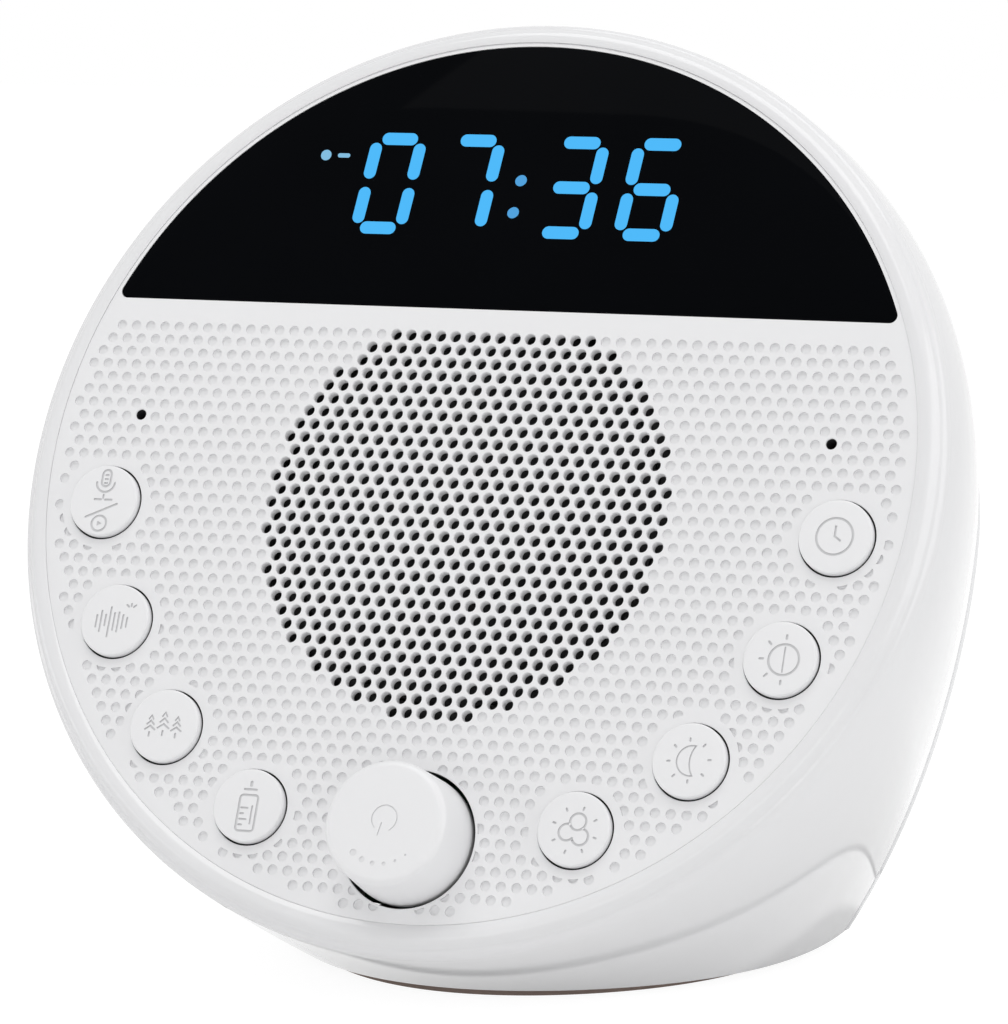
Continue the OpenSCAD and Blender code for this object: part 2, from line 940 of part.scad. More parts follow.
// Corrugated disc that centres the voice coil
module spider() {
    inner = coil_r + coil_wall + 0.35;
    outer = basket_floor_r - 0.6;
    waves = 4;
    t = 0.35;
    seat = basket_wall - basket_back;
    low = seat + t + 0.1;
    steps = 32;
    function wave(k) = [
        inner + (outer - inner) * k / steps,
        low + 0.9 - 0.9 * cos(k / steps * 360 * waves + 180) * sin(k / steps * 180)
    ];
    color("#b08040")
    on_speaker()
        rotate_extrude($fn = 72)
            polygon(concat(
                [for (k = [0 : steps]) wave(k)],
                [[outer, seat], [outer - 0.6, seat]],
                [for (k = [steps - 3 : -1 : 0]) wave(k) - [0, t]]
            ));
}

module voice_coil() {
    color("#b06030")
    on_speaker()
        ring(coil_r, coil_r + coil_wall, basket_back - neck_rise + 0.5, basket_back + coil_dip);
}

module top_plate() {
    color("silver")
    on_speaker()
        ring(coil_r + coil_wall + coil_gap, magnet_r - 1, basket_back, plate_back);
}

module magnet() {
    color("#404040")
    on_speaker()
        ring(magnet_bore_r, magnet_r, plate_back, magnet_back);
}

module yoke() {
    color("silver")
    on_speaker()
        union() {
            slab(magnet_r - 1, -yoke_back, -magnet_back);
            slab(coil_r - coil_gap, -magnet_back - eps, -basket_back + 0.3);
        }
}

// Main board -----------------------------------------------------------------

main_spots = [
    for (sx = [-1, 1]) for (z = [main_foot + main_inset, main_top - main_inset])
        [sx * (main_w / 2 - main_inset), z]
];

module main_board() {
    color("darkgreen")
    sheet(main_front, main_back)
        difference() {
            translate([-main_w / 2, main_foot])
                square([main_w, main_h]);
            for (s = main_spots)
                translate(s)
                    circle(r = clear_r);
        }
}

module usb_c_socket() {
    color("silver")
    union() {
        difference() {
            usb_slot(0, main_back, rear_y - 0.2);
            usb_slot(-0.3, main_back + 0.6, rear_y + 1);
        }
        translate([-3.1, main_back + 0.5, usb_height - 0.35])
            cube([6.2, rear_y - 1 - main_back, 0.7]);
    }
}

module board_chips() {
    color("#1a1a1a") {
        chip(main_w / 8, main_mid + 5, main_chip);
        chip(main_w / 2 - amplifier_inset, main_mid, amplifier);
        chip(main_w / 2 - amplifier_inset - 8, main_mid - 6, small_chip);
    }
}

// A chip on the front of the main board: its size is width, thickness and height
module chip(x, z, size) {
    translate([x - size[0] / 2, main_front - size[1], z - size[2] / 2])
        cube(size);
}

module board_capacitors() {
    color("navy") {
        bar(main_w / 2 - 2 * main_inset, main_foot + 8, 3.2, main_front - 7.7, main_front);
        bar(0, main_foot + 5, 2.5, main_front - 5.4, main_front);
    }
}

module backup_cell() {
    color("silver")
        bar(cell_x, main_mid, cell_r, main_front - 0.6 - cell_t, main_front - 0.6);
}

module backup_cell_holder() {
    color("#303030")
    difference() {
        bar(cell_x, main_mid, cell_r + 1.2, main_front - cell_t - 0.2, main_front);
        bar(cell_x, main_mid, cell_r + 0.15, main_front - cell_t - 2, main_front - 0.6);
        translate([cell_x - 5, main_front - cell_t - 2, main_mid])
            cube([10, cell_t + 1.4, cell_r + 3]);
    }
}

// Wiring ------------------------------------------------------------------------

cable_x = main_w / 2 - 5;
cable_w = 10;
plug_h = 2.4;
plug_w = 3.6;
cable_y_face = -speaker_drop - board_hole_r - 3.9;
cable_z_main = main_top - 8;
cable_start = face_point(0, cable_y_face, -board_depth - board_t - plug_h);
cable_lead = face_point(0, cable_y_face, -board_depth - board_t - plug_h - 16);
cable_end = [0, main_front - plug_h, cable_z_main];
cable_back = [0, main_front - plug_h - 14, cable_z_main];

function curve(p, q, r, s, v) =
    pow(1 - v, 3) * p + 3 * v * pow(1 - v, 2) * q + 3 * v * v * (1 - v) * r + pow(v, 3) * s;
function route(v) = curve(cable_start, cable_lead, cable_back, cable_end, v);
function slope(v) = route(v + 0.01) - route(v - 0.01);
function unit(p) = p / norm(p);
function beside(v, d) =
    let (along = unit(slope(v)), p = route(v))
    [p[1] - along[2] * d, p[2] + along[1] * d];

module ribbon_cable() {
    half_t = 0.25;
    steps = 16;
    color("lightgray")
    translate([cable_x - cable_w / 2, 0, 0])
        rotate([90, 0, 90])
            linear_extrude(cable_w)
                polygon(concat(
                    [for (k = [0 : steps]) beside(k / steps, half_t)],
                    [for (k = [steps : -1 : 0]) beside(k / steps, -half_t)]
                ));
}

module ribbon_connectors() {
    color("ivory") {
        on_face()
            translate([cable_x - cable_w / 2 - 1, cable_y_face - plug_w / 2, -board_depth - board_t - plug_h])
                cube([cable_w + 2, plug_w, plug_h]);
        translate([cable_x - cable_w / 2 - 1, main_front - plug_h, cable_z_main - plug_w / 2])
            cube([cable_w + 2, plug_h, plug_w]);
    }
}

wire_r = 0.6;
wire_sides = 8;
wire_steps = 20;
wire_x = -5;
wire_from = face_point(2 - basket_floor_r, 6 - speaker_drop - basket_floor_r, -basket_back - 1);
wire_pull = face_point(-3 - basket_floor_r, -speaker_drop - basket_floor_r - 3, -basket_back - 10);
wire_back = [wire_x, main_front - 12, main_top - 4];
wire_to = [wire_x, main_front, main_top - 4];

function wire_point(v) = curve(wire_from, wire_pull, wire_back, wire_to, v);
function wire_ring(v) =
    let (
        p = wire_point(v),
        along = unit(wire_point(v + 0.01) - wire_point(v - 0.01)),
        side = unit(cross(along, [1, 0, 0])),
        up = cross(side, along)
    )
    [for (i = [0 : wire_sides - 1])
        let (a = i * 360 / wire_sides)
        p + wire_r * (cos(a) * side + sin(a) * up)];

module speaker_wires() {
    color("firebrick")
        for (x = [0, 1.6])
            translate([x, 0, 0])
                loft([for (k = [0 : wire_steps]) wire_ring(k / wire_steps)]);
}

// Screws ----------------------------------------------------------------------------

// A pan-head screw: head on the low side of z, shank upwards
module screw_up(z, length) {
    slab(shank_r, z - eps, z + length);
    difference() {
        slab(screw_head_r, z - screw_head_t, z);
        for (a = [0, 90])
            rotate([0, 0, a])
                translate([-1.4, -0.3, z - screw_head_t - 1])
                    cube([2.8, 0.6, 1.8]);
    }
}

module panel_screws() {
    color("dimgray")
    on_face()
        at_each(lug_spots)
            screw_up(-lug_top - lug_t, 5);
}

module speaker_screws() {
    color("dimgray")
    on_face()
        at_each(speaker_lugs)
            screw_up(-flange_back, 3.8);
}

module front_board_screws() {
    color("dimgray")
    on_face()
        at_each(post_spots)
            screw_up(-board_depth - board_t, 6.5);
}

module main_board_screws() {
    color("dimgray")
        for (s = main_spots)
            translate([s[0], 0, s[1]])
                rotate([-90, 0, 0])
                    screw_up(main_front, 4.8);
}

module rear_cover_screws() {
    color("dimgray")
        for (s = cover_spots)
            translate([s[0], 0, s[1]])
                rotate([90, 0, 0])
                    screw_up(-rear_y + screw_head_t, cover_pilot_l);
}

housing();
front_panel();
display_lens();
rear_cover();
rubber_foot();
display_module();
front_board();
tact_switches();
night_light_leds();
record_button();
sound_button();
nature_button();
lullaby_button();
clock_button();
brightness_button();
night_light_button();
color_button();
record_plunger();
sound_plunger();
nature_plunger();
lullaby_plunger();
clock_plunger();
brightness_plunger();
night_light_plunger();
color_plunger();
knob_cap();
encoder_shaft();
encoder_plunger();
encoder_body();
microphones();
microphone_boots();
speaker_gasket();
speaker_basket();
speaker_surround();
speaker_cone();
dust_cap();
spider();
voice_coil();
top_plate();
magnet();
yoke();
main_board();
usb_c_socket();
board_chips();
board_capacitors();
backup_cell();
backup_cell_holder();
ribbon_cable();
ribbon_connectors();
speaker_wires();
panel_screws();
speaker_screws();
front_board_screws();
main_board_screws();
rear_cover_screws();
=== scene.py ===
import json
import math

import bmesh
import bpy
from mathutils import Matrix, Vector
from mathutils.geometry import convex_hull_2d, delaunay_2d_cdt


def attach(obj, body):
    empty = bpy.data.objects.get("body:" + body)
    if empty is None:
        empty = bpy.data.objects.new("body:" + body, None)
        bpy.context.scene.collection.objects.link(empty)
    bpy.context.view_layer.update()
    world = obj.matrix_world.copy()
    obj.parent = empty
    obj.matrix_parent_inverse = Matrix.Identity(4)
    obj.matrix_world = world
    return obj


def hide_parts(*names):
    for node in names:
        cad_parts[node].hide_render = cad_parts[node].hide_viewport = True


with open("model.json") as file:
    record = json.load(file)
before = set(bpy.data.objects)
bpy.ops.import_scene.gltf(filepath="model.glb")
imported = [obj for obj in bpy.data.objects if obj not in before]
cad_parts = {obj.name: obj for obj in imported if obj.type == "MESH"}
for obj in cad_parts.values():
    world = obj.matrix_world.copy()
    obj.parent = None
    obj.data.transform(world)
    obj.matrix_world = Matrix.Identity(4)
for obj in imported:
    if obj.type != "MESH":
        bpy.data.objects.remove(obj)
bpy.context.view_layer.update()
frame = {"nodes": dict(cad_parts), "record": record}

# Sizes are in millimetres, as in the part's source, and become metres when a piece is made
MM = 0.001
TAU = 2 * math.pi

# Face: round and flat, leaning back; heights over it are along its normal
FACE_R = 60.0
FACE_TILT = math.radians(24.6)
FACE_Y = -20.9
FACE_HEIGHT = 67.1
PANEL_T = 2.0
PANEL_GAP = 0.25
EDGE_GAP = 0.015

# Housing: the bezel is a slope, a ring and a rolled shoulder, and the shares say where the first two end
BEZEL_W = 3.65
BEZEL_RISE = 0.25
BEZEL_SINK = 0.3
RING_W = 2.6
RING_SLOPE = 1.5
CREST_R = FACE_R - 0.6 + RING_SLOPE
SLOPE_SHARE = 0.25
RING_SHARE = 2 / 3
GROOVE_DEPTH = 1.0
BEZEL_ROLL = 2.9
BEZEL_DROP = 0.3
BEZEL_R = FACE_R + BEZEL_W
GROOVE_R = FACE_R + RING_W
BODY_DEPTH = 49.9
WALL = 2.4
LEDGE_DEPTH = 4.0
REAR_HALF_W = 53.3
REAR_RISE = 57.8
REAR_FALL = 81.1
REAR_DROP = 9.4
REAR_LOWER_POWER = 1.25
COVER_T = 2.2
FOOT_T = 1.1
FOOT_MID = 20.9
# how far the pad lies inside the base: everywhere, more at the sides, more at the back
FOOT_INSET, FOOT_SIDE_INSET, FOOT_BACK_INSET = 2.0, 4.0, 1.6
REAR_Y = FACE_Y + BODY_DEPTH
SEAM_Y = REAR_Y - COVER_T
REAR_MID_Z = FACE_HEIGHT - REAR_DROP
# how deep the body's pull point lies and how far it flares out, at the sides, the top and the bottom
SWELL = (10.0, 14.0, 46.0)
FLARE = (2.1, 1.8, -1.9)
CORNER_FLARE = 2.4

# Speaker grille and dimples
PITCH = 2.1
ROW_H = PITCH * math.sqrt(3) / 2
SPEAKER_DROP = 5.1
SPEAKER_R = FACE_R - 29
GRILLE_R = SPEAKER_R - 2.8
GRILLE_T = 1.2
RECESS_R = SPEAKER_R - 1.9
LATTICE_ROWS = range(-28, 17)
LATTICE_COLUMNS = range(-29, 30)
DIMPLE_FIELD = 27.77
HOLE_R = 0.74
HOLE_POINTS = 20
DIMPLE_R = 0.70
DIMPLE_DEPTH = 0.35
# the dimple's outline from its lip inwards, as shares of its size and heights
DIMPLE_PROFILE = [(0.98, -0.02), (0.965, -0.05), (0.955, -0.25), (0.88, -0.33), (0.74, -DIMPLE_DEPTH)]
PINHOLE_R = 0.72
PINHOLE_CLEAR = PITCH * 0.6
PINHOLES = [(48.32, 6.05), (-48.32, 6.05)]

# Buttons and knob
BUTTON_R = 4.85
BUTTON_GAP = 0.22
BUTTON_RISE = 0.95
BUTTON_RING_R = 51.4
BUTTON_START = 7.15
BUTTON_STEP = 19.0
BUTTON_PLAIN_R = 6.3
KNOB_DROP = 48.9
KNOB_R = 8.6
KNOB_TOP_R = 8.2
KNOB_H = 8.2
KNOB_GAP = 0.5
KNOB_PLAIN_R = 9.45

# Display
LENS_BOTTOM = 22.4
LENS_R = FACE_R - PANEL_GAP - 0.3
RECESS_TOP = LENS_BOTTOM - 1.2
LENS_T = 1.2
LENS_SINK = 0.1

KEYS = ["record", "sound", "nature", "lullaby", "clock", "brightness", "night_light", "color"]

FACE = Matrix((
    (1, 0, 0, 0),
    (0, math.sin(FACE_TILT), -math.cos(FACE_TILT), FACE_Y),
    (0, math.cos(FACE_TILT), math.sin(FACE_TILT), FACE_HEIGHT),
    (0, 0, 0, 1),
))
TO_METRES = Matrix.Diagonal((MM, MM, MM, 1))


# ---------------------------------------------------------------- materials

def empty_tree(owner):
    """Clears the owner's nodes and returns what makes a node and what links two sockets."""
    owner.use_nodes = True
    tree = owner.node_tree
    tree.nodes.clear()
    return tree.nodes.new, tree.links.new


def plastic(name, colour, roughness, tint=0.02, grain=900.0, grain_depth=0.02, wave=0.0, metallic=0.0,
            specular=0.5):
    """A moulded or rolled surface: slight cloudiness, varied gloss and a fine grain.

    The tint is the share by which the colour varies, and the grain is a noise scale. The grain's depth and
    the wave, a slow ripple, are in millimetres.
    """
    cloud_scale, wave_scale = 35.0, 60.0
    m = bpy.data.materials.new(name)
    make, link = empty_tree(m)
    out = make("ShaderNodeOutputMaterial")
    shader = make("ShaderNodeBsdfPrincipled")
    link(shader.outputs["BSDF"], out.inputs["Surface"])
    shader.inputs["Metallic"].default_value = metallic
    shader.inputs["Specular IOR Level"].default_value = specular
    place = make("ShaderNodeTexCoord")

    def noise(scale, detail=2.0):
        node = make("ShaderNodeTexNoise")
        node.inputs["Scale"].default_value = scale
        node.inputs["Detail"].default_value = detail
        link(place.outputs["Object"], node.inputs["Vector"])
        return node.outputs["Fac"]

    def bump(height, depth):
        node = make("ShaderNodeBump")
        node.inputs["Strength"].default_value = 1.0
        node.inputs["Distance"].default_value = depth * MM
        link(height, node.inputs["Height"])
        return node

    shades = make("ShaderNodeValToRGB")
    for end, position, change in zip(shades.color_ramp.elements, (0.3, 0.7), (1 - tint, 1 + tint)):
        end.position = position
        end.color = [min(1.0, c * change) for c in colour] + [1]
    link(noise(cloud_scale, 3.0), shades.inputs["Fac"])
    link(shades.outputs["Color"], shader.inputs["Base Color"])

    speck = noise(grain)
    gloss = make("ShaderNodeMapRange")
    gloss.inputs["To Min"].default_value = max(0.02, roughness * 0.88)
    gloss.inputs["To Max"].default_value = min(1.0, roughness * 1.12)
    link(speck, gloss.inputs["Value"])
    link(gloss.outputs["Result"], shader.inputs["Roughness"])

    relief = bump(speck, grain_depth)
    link(relief.outputs["Normal"], shader.inputs["Normal"])
    if wave:
        link(bump(noise(wave_scale), wave).outputs["Normal"], relief.inputs["Normal"])
    return m


def glow(name, colour, strength):
    """A lit mark of the display: nearly black under its own light, so that the lamps don't bleach it."""
    unlit = [c * 0.03 for c in colour]
    m = plastic(name, unlit, 0.35, tint=0.01, grain=400.0, grain_depth=0.0, specular=0.0)
    shader = next(n for n in m.node_tree.nodes if n.type == "BSDF_PRINCIPLED")
    shader.inputs["Emission Color"].default_value = [*colour, 1]
    shader.inputs["Emission Strength"].default_value = strength
    return m


# colour, roughness, and what else differs from a plain plastic
FINISHES = {
    "gloss_white": ((0.775, 0.775, 0.785), 0.07, dict(tint=0.006, grain_depth=0.0, wave=0.01)),
    # gap_shade is painted shade: near black on the deep walls of the gaps round the buttons and knob and in
    # the pinholes
    "gap_shade": ((0.02, 0.02, 0.022), 0.8, {}),
    # dimple_shade is painted shade on the dimples' walls
    "dimple_shade": ((0.66, 0.66, 0.67), 0.6, dict(tint=0.01)),
    # the sunk marks' walls and floors are painted darker as shade: grey on the buttons, a little below white
    # on the knob
    "mark_grey": ((0.64, 0.64, 0.65), 0.6, {}),
    "knob_mark": ((0.755, 0.755, 0.765), 0.6, dict(tint=0.01)),
    "matt_white": ((0.80, 0.80, 0.81), 0.48, dict(tint=0.008, grain=2200.0, grain_depth=0.006)),
    "button_white": ((0.81, 0.81, 0.82), 0.36, dict(tint=0.006, grain=1800.0, grain_depth=0.003)),
    "lens_black": ((0.0022, 0.0025, 0.0032), 0.05, dict(tint=0.1, grain_depth=0.0, specular=0.008)),
    "foot_rubber": ((0.27, 0.205, 0.175), 0.8, dict(tint=0.15, grain=1400.0, grain_depth=0.05)),
    "black_plastic": ((0.012, 0.012, 0.014), 0.5, dict(tint=0.1)),
    "board_green": ((0.01, 0.09, 0.04), 0.4, dict(tint=0.25, grain=500.0)),
    "led_yellow": ((0.8, 0.66, 0.2), 0.3, dict(tint=0.05)),
    "switch_red": ((0.38, 0.06, 0.04), 0.45, dict(tint=0.08)),
    "steel": ((0.5, 0.5, 0.51), 0.3, dict(tint=0.06, grain=700.0, metallic=1.0)),
    "gasket_foam": ((0.02, 0.02, 0.02), 0.95, dict(tint=0.3, grain=1500.0, grain_depth=0.1)),
    "boot_rubber": ((0.015, 0.015, 0.015), 0.75, dict(tint=0.2)),
    "cone_paper": ((0.02, 0.02, 0.021), 0.85, dict(tint=0.3, grain=600.0, grain_depth=0.06)),
    "spider_fabric": ((0.35, 0.2, 0.05), 0.8, dict(tint=0.15, grain=1200.0, grain_depth=0.08)),
    "coil_copper": ((0.6, 0.22, 0.08), 0.3, dict(tint=0.1, metallic=1.0)),
    "ferrite": ((0.03, 0.03, 0.033), 0.6, dict(tint=0.2)),
    "capacitor_can": ((0.02, 0.03, 0.16), 0.35, dict(tint=0.08)),
    "connector_ivory": ((0.72, 0.66, 0.48), 0.45, dict(tint=0.03)),
    "cable_film": ((0.45, 0.46, 0.48), 0.4, dict(tint=0.04)),
    "wire_red": ((0.42, 0.02, 0.015), 0.4, dict(tint=0.06)),
    "screw_steel": ((0.2, 0.2, 0.21), 0.35, dict(tint=0.1, metallic=1.0)),
}
# colour and strength of what is lit
GLOWS = {
    "digit_blue": ((0.078, 0.479, 0.93), 1.0),
    "colon_blue": ((0.084, 0.352, 0.702), 1.0),
    "mark_blue": ((0.28, 0.62, 0.9), 0.8),
}
MATERIALS = {name: plastic(name, colour, roughness, **rest)
             for name, (colour, roughness, rest) in FINISHES.items()}
MATERIALS.update({name: glow(name, colour, strength) for name, (colour, strength) in GLOWS.items()})


# ---------------------------------------------------------------- mesh helpers

SAME_POINT = 2e-6  # metres


def add_piece(name, build, slot, body, where=None, smooth=35.0, replaces=()):
    """A closed mesh in millimetres becomes a piece that rides on a body."""
    matrix = TO_METRES @ (where if where is not None else Matrix.Identity(4))
    mesh = bpy.data.meshes.new(name)
    mesh.from_pydata([matrix @ Vector(p) for p in build.points], [], build.faces)
    paints = [slot] + sorted(set(build.paint.values()))
    for face, paint in build.paint.items():
        mesh.polygons[face].material_index = paints.index(paint)
    for polygon in mesh.polygons:
        polygon.use_smooth = polygon.index not in build.flats
    bm = bmesh.new()
    bm.from_mesh(mesh)
    bmesh.ops.remove_doubles(bm, verts=bm.verts, dist=SAME_POINT)
    bmesh.ops.recalc_face_normals(bm, faces=bm.faces)
    bm.to_mesh(mesh)
    bm.free()
    mesh.set_sharp_from_angle(angle=math.radians(smooth))
    obj = bpy.data.objects.new(name, mesh)
    bpy.context.scene.collection.objects.link(obj)
    for paint in paints:
        mesh.materials.append(MATERIALS[paint])
    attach(obj, body)
    if replaces:
        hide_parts(*replaces)
    return obj


class Build:
    """Collects a piece's points and faces, which faces have another material and which stay flat."""

    def __init__(self):
        self.points = []
        self.faces = []
        self.paint = {}
        self.flats = set()

    def ring(self, points):
        """Adds the points and returns their indices."""
        start = len(self.points)
        self.points += [tuple(p) for p in points]
        return list(range(start, start + len(points)))

    def band(self, a, b):
        """Quads between two closed rings of equal length."""
        n = len(a)
        for i in range(n):
            j = (i + 1) % n
            self.faces.append((a[i], a[j], b[j], b[i]))

    def coat(self, first, slot):
        """Gives every face from the index first onward another material."""
        for face in range(first, len(self.faces)):
            self.paint[face] = slot

    def bands(self, rings):
        """Bands between each ring and the next."""
        for a, b in zip(rings, rings[1:]):
            self.band(a, b)

    def cap(self, ring, centre):
        """Closes a ring with triangles that meet in the centre."""
        c = len(self.points)
        self.points.append(tuple(centre))
        n = len(ring)
        for i in range(n):
            self.faces.append((ring[i], ring[(i + 1) % n], c))

    def sheet(self, loops, z):
        """A flat sheet at height z inside the loops by the even-odd rule. Returns the loops' indices."""
        flat, edges, rings = [], [], []
        for loop in loops:
            base = len(flat)
            flat += [Vector((p[0], p[1])) for p in loop]
            edges += [(base + i, base + (i + 1) % len(loop)) for i in range(len(loop))]
            rings.append(list(range(base, base + len(loop))))
        verts, found, tris, origin, edge_origin, _ = delaunay_2d_cdt(flat, edges, [], 1, 1e-6, True)
        start = len(self.points)
        self.points += [(v[0], v[1], z) for v in verts]
        new_index = {}
        for i, old in enumerate(origin):
            for o in old:
                new_index[o] = i
        walls = {frozenset(e) for e, old in zip(found, edge_origin) if old}
        for tri in inside(tris, walls):
            self.flats.add(len(self.faces))
            self.faces.append(tuple(start + i for i in tri))
        return [[start + new_index[i] for i in ring] for ring in rings]


def inside(tris, walls):
    """The triangles that lie inside the walls by the even-odd rule."""
    neighbours = {}
    for t, tri in enumerate(tris):
        for i in range(len(tri)):
            neighbours.setdefault(frozenset((tri[i], tri[(i + 1) % len(tri)])), []).append(t)
    state = {}
    stack = []
    for edge, owners in neighbours.items():
        if len(owners) == 1 and owners[0] not in state:
            state[owners[0]] = edge in walls
            stack.append(owners[0])
    while stack:
        t = stack.pop()
        tri = tris[t]
        for i in range(len(tri)):
            edge = frozenset((tri[i], tri[(i + 1) % len(tri)]))
            for other in neighbours[edge]:
                if other not in state:
                    state[other] = state[t] != (edge in walls)
                    stack.append(other)
    return [tris[t] for t, kept in state.items() if kept]


def circle(x, y, r, n):
    return [(x + r * math.cos(TAU * i / n), y + r * math.sin(TAU * i / n)) for i in range(n)]


def at_height(loop, z):
    return [(p[0], p[1], z) for p in loop]


def lathe(profile, n):
    """Rings for a turned shape from (radius, height) pairs."""
    return [at_height(circle(0, 0, r, n), z) for r, z in profile]


def rounded_rim(r, z, edge, step):
    """A quarter round from a flat top at height z down to the radius r, as (radius, height) pairs."""
    turns = [math.radians(degrees) for degrees in range(step, 91, step)]
    return [(r - edge + edge * math.sin(a), z - edge + edge * math.cos(a)) for a in turns]


def on_circle(x, y, r, degrees):
    a = math.radians(degrees)
    return x + r * math.cos(a), y + r * math.sin(a)


def arc(x, y, r, first, last, steps):
    """Points on an arc between two angles in degrees."""
    return [on_circle(x, y, r, first + (last - first) * k / steps) for k in range(steps + 1)]


def border(low, high, below, steps=40):
    """The value between low and high at which below(value) stops being true."""
    for _ in range(steps):
        middle = (low + high) / 2
        if below(middle):
            low = middle
        else:
            high = middle
    return high


# ---------------------------------------------------------------- housing

def blend(a, values):
    """Turns smoothly between the values for the sides, the top and the bottom at the angle a."""
    side, top, bottom = values
    s = math.sin(a)
    return side * math.cos(a) ** 2 + (top if s > 0 else bottom) * s * s


def rear_rim(a, inset=0.0):
    """The rear outline's (x, z) at the angle a."""
    s = math.sin(a)
    x = (REAR_HALF_W - inset) * math.cos(a)
    if s > 0:
        return x, REAR_MID_Z + (REAR_RISE - inset) * s
    return x, REAR_MID_Z - (REAR_FALL - inset) * (-s) ** REAR_LOWER_POWER


def ring_point(a, r, z):
    """A point of the bezel's rings, which lie a little lower than the face's middle."""
    return FACE @ Vector((r * math.cos(a), r * math.sin(a) - BEZEL_DROP, z))


def side_point(a, v, inset=0.0, start_depth=BEZEL_ROLL):
    """A point of the body between the bezel, at v = 0, and the seam with the rear cover, at v = 1."""
    start = ring_point(a, BEZEL_R - inset, -start_depth)
    corner = CORNER_FLARE * math.sin(2 * a) ** 2 if math.sin(a) < 0 else 0.0
    pull = ring_point(a, BEZEL_R + blend(a, FLARE) + corner - inset, -BEZEL_ROLL - blend(a, SWELL))
    x, z = rear_rim(a, inset)
    end = Vector((x, SEAM_Y, z))
    return (1 - v) ** 2 * start + 2 * v * (1 - v) * pull + v * v * end


def crest_profile(k):
    """Radius and height of the bezel: its slope, its ring and its shoulder, from k = 0 to k = 1."""
    if k < SLOPE_SHARE:
        back = 1 - k / SLOPE_SHARE
        return CREST_R - RING_SLOPE * back, BEZEL_RISE - (BEZEL_RISE + BEZEL_SINK) * back ** 2
    if k < RING_SHARE:
        t = (k - SLOPE_SHARE) / (RING_SHARE - SLOPE_SHARE)
        return CREST_R + (GROOVE_R - CREST_R) * t, BEZEL_RISE - (BEZEL_RISE + GROOVE_DEPTH) * t ** 3
    roll = math.pi / 2 * (k - RING_SHARE) / (1 - RING_SHARE)
    drop = (BEZEL_ROLL - GROOVE_DEPTH) * (1 - math.cos(roll))
    return GROOVE_R + (BEZEL_R - GROOVE_R) * math.sin(roll), -GROOVE_DEPTH - drop


def softened(points, passes):
    """The points with their corners rounded by repeated averaging; both ends stay."""
    for _ in range(passes):
        middle = [((a[0] + 2 * b[0] + c[0]) / 4, (a[1] + 2 * b[1] + c[1]) / 4)
                  for a, b, c in zip(points, points[1:], points[2:])]
        points = [points[0]] + middle + [points[-1]]
    return points


CREST_POINTS = 240
CREST_PASSES = 60
CREST = softened([crest_profile(j / CREST_POINTS) for j in range(CREST_POINTS + 1)], CREST_PASSES)


def crest_offset(k):
    """Radius and height of the softened bezel at k."""
    place = min(k, 1.0) * CREST_POINTS
    j = min(int(place), CREST_POINTS - 1)
    share = place - j
    (r1, z1), (r2, z2) = CREST[j], CREST[j + 1]
    return r1 + (r2 - r1) * share, z1 + (z2 - z1) * share


def crest_start(a):
    """Where the rounded bezel meets the round opening that holds the panel."""
    def in_opening(k):
        r, _z = crest_offset(k)
        return math.hypot(r * math.cos(a), r * math.sin(a) - BEZEL_DROP) < FACE_R

    return border(0.0, 0.4, in_opening, 30)


def make_shell():
    around, crest_steps, loft_steps, inner_steps = 360, 40, 54, 20
    opening_edge, seam_edge, last_share = 0.7, 0.22, 0.996
    angles = [TAU * i / around for i in range(around)]
    starts = [crest_start(a) for a in angles]
    b = Build()

    def opening(z):
        return b.ring([ring_point(a, crest_offset(k)[0], z) for a, k in zip(angles, starts)])

    def crest(t):
        ring = []
        for a, k0 in zip(angles, starts):
            r, z = crest_offset(k0 + (1 - k0) * t)
            ring.append(ring_point(a, r, z))
        return b.ring(ring)

    def side(v, *inner):
        return b.ring([side_point(a, v, *inner) for a in angles])

    def seam(inset):
        return b.ring([(x, SEAM_Y, z) for x, z in (rear_rim(a, inset) for a in angles)])

    rings = [opening(-LEDGE_DEPTH), opening(-opening_edge)]
    rings += [crest(t / crest_steps) for t in range(crest_steps + 1)]
    rings += [side(j / loft_steps) for j in range(1, loft_steps)]
    rings += [side(last_share), seam(seam_edge), seam(WALL)]
    rings += [side(1 - j / inner_steps, WALL, LEDGE_DEPTH) for j in range(1, inner_steps + 1)]
    b.bands(rings)
    b.band(rings[-1], rings[0])
    shell = add_piece("shell", b, "gloss_white", "case", replaces=["housing"])
    flatten_bottom(shell.data)
    return shell


def flatten_bottom(mesh):
    """Cuts the shell off at the foot, closes it with a flat floor and rounds the new edge."""
    edge, sharp = 0.35, math.radians(20)
    bm = bmesh.new()
    bm.from_mesh(mesh)
    bmesh.ops.bisect_plane(bm, geom=bm.verts[:] + bm.edges[:] + bm.faces[:], dist=1e-7,
                           plane_co=(0, 0, FOOT_T * MM), plane_no=(0, 0, -1), clear_outer=True)
    edges = [e for e in bm.edges if e.is_boundary]
    bmesh.ops.triangle_fill(bm, use_beauty=True, use_dissolve=False, edges=edges)
    rim = [e for e in edges if e.is_valid and e.calc_face_angle(0) > sharp]
    bmesh.ops.bevel(bm, geom=rim, offset=edge * MM, segments=3, profile=0.5, affect="EDGES",
                    clamp_overlap=True)
    bmesh.ops.recalc_face_normals(bm, faces=bm.faces)
    bm.to_mesh(mesh)
    bm.free()
    for polygon in mesh.polygons:
        polygon.use_smooth = True
    mesh.set_sharp_from_angle(angle=math.radians(35))


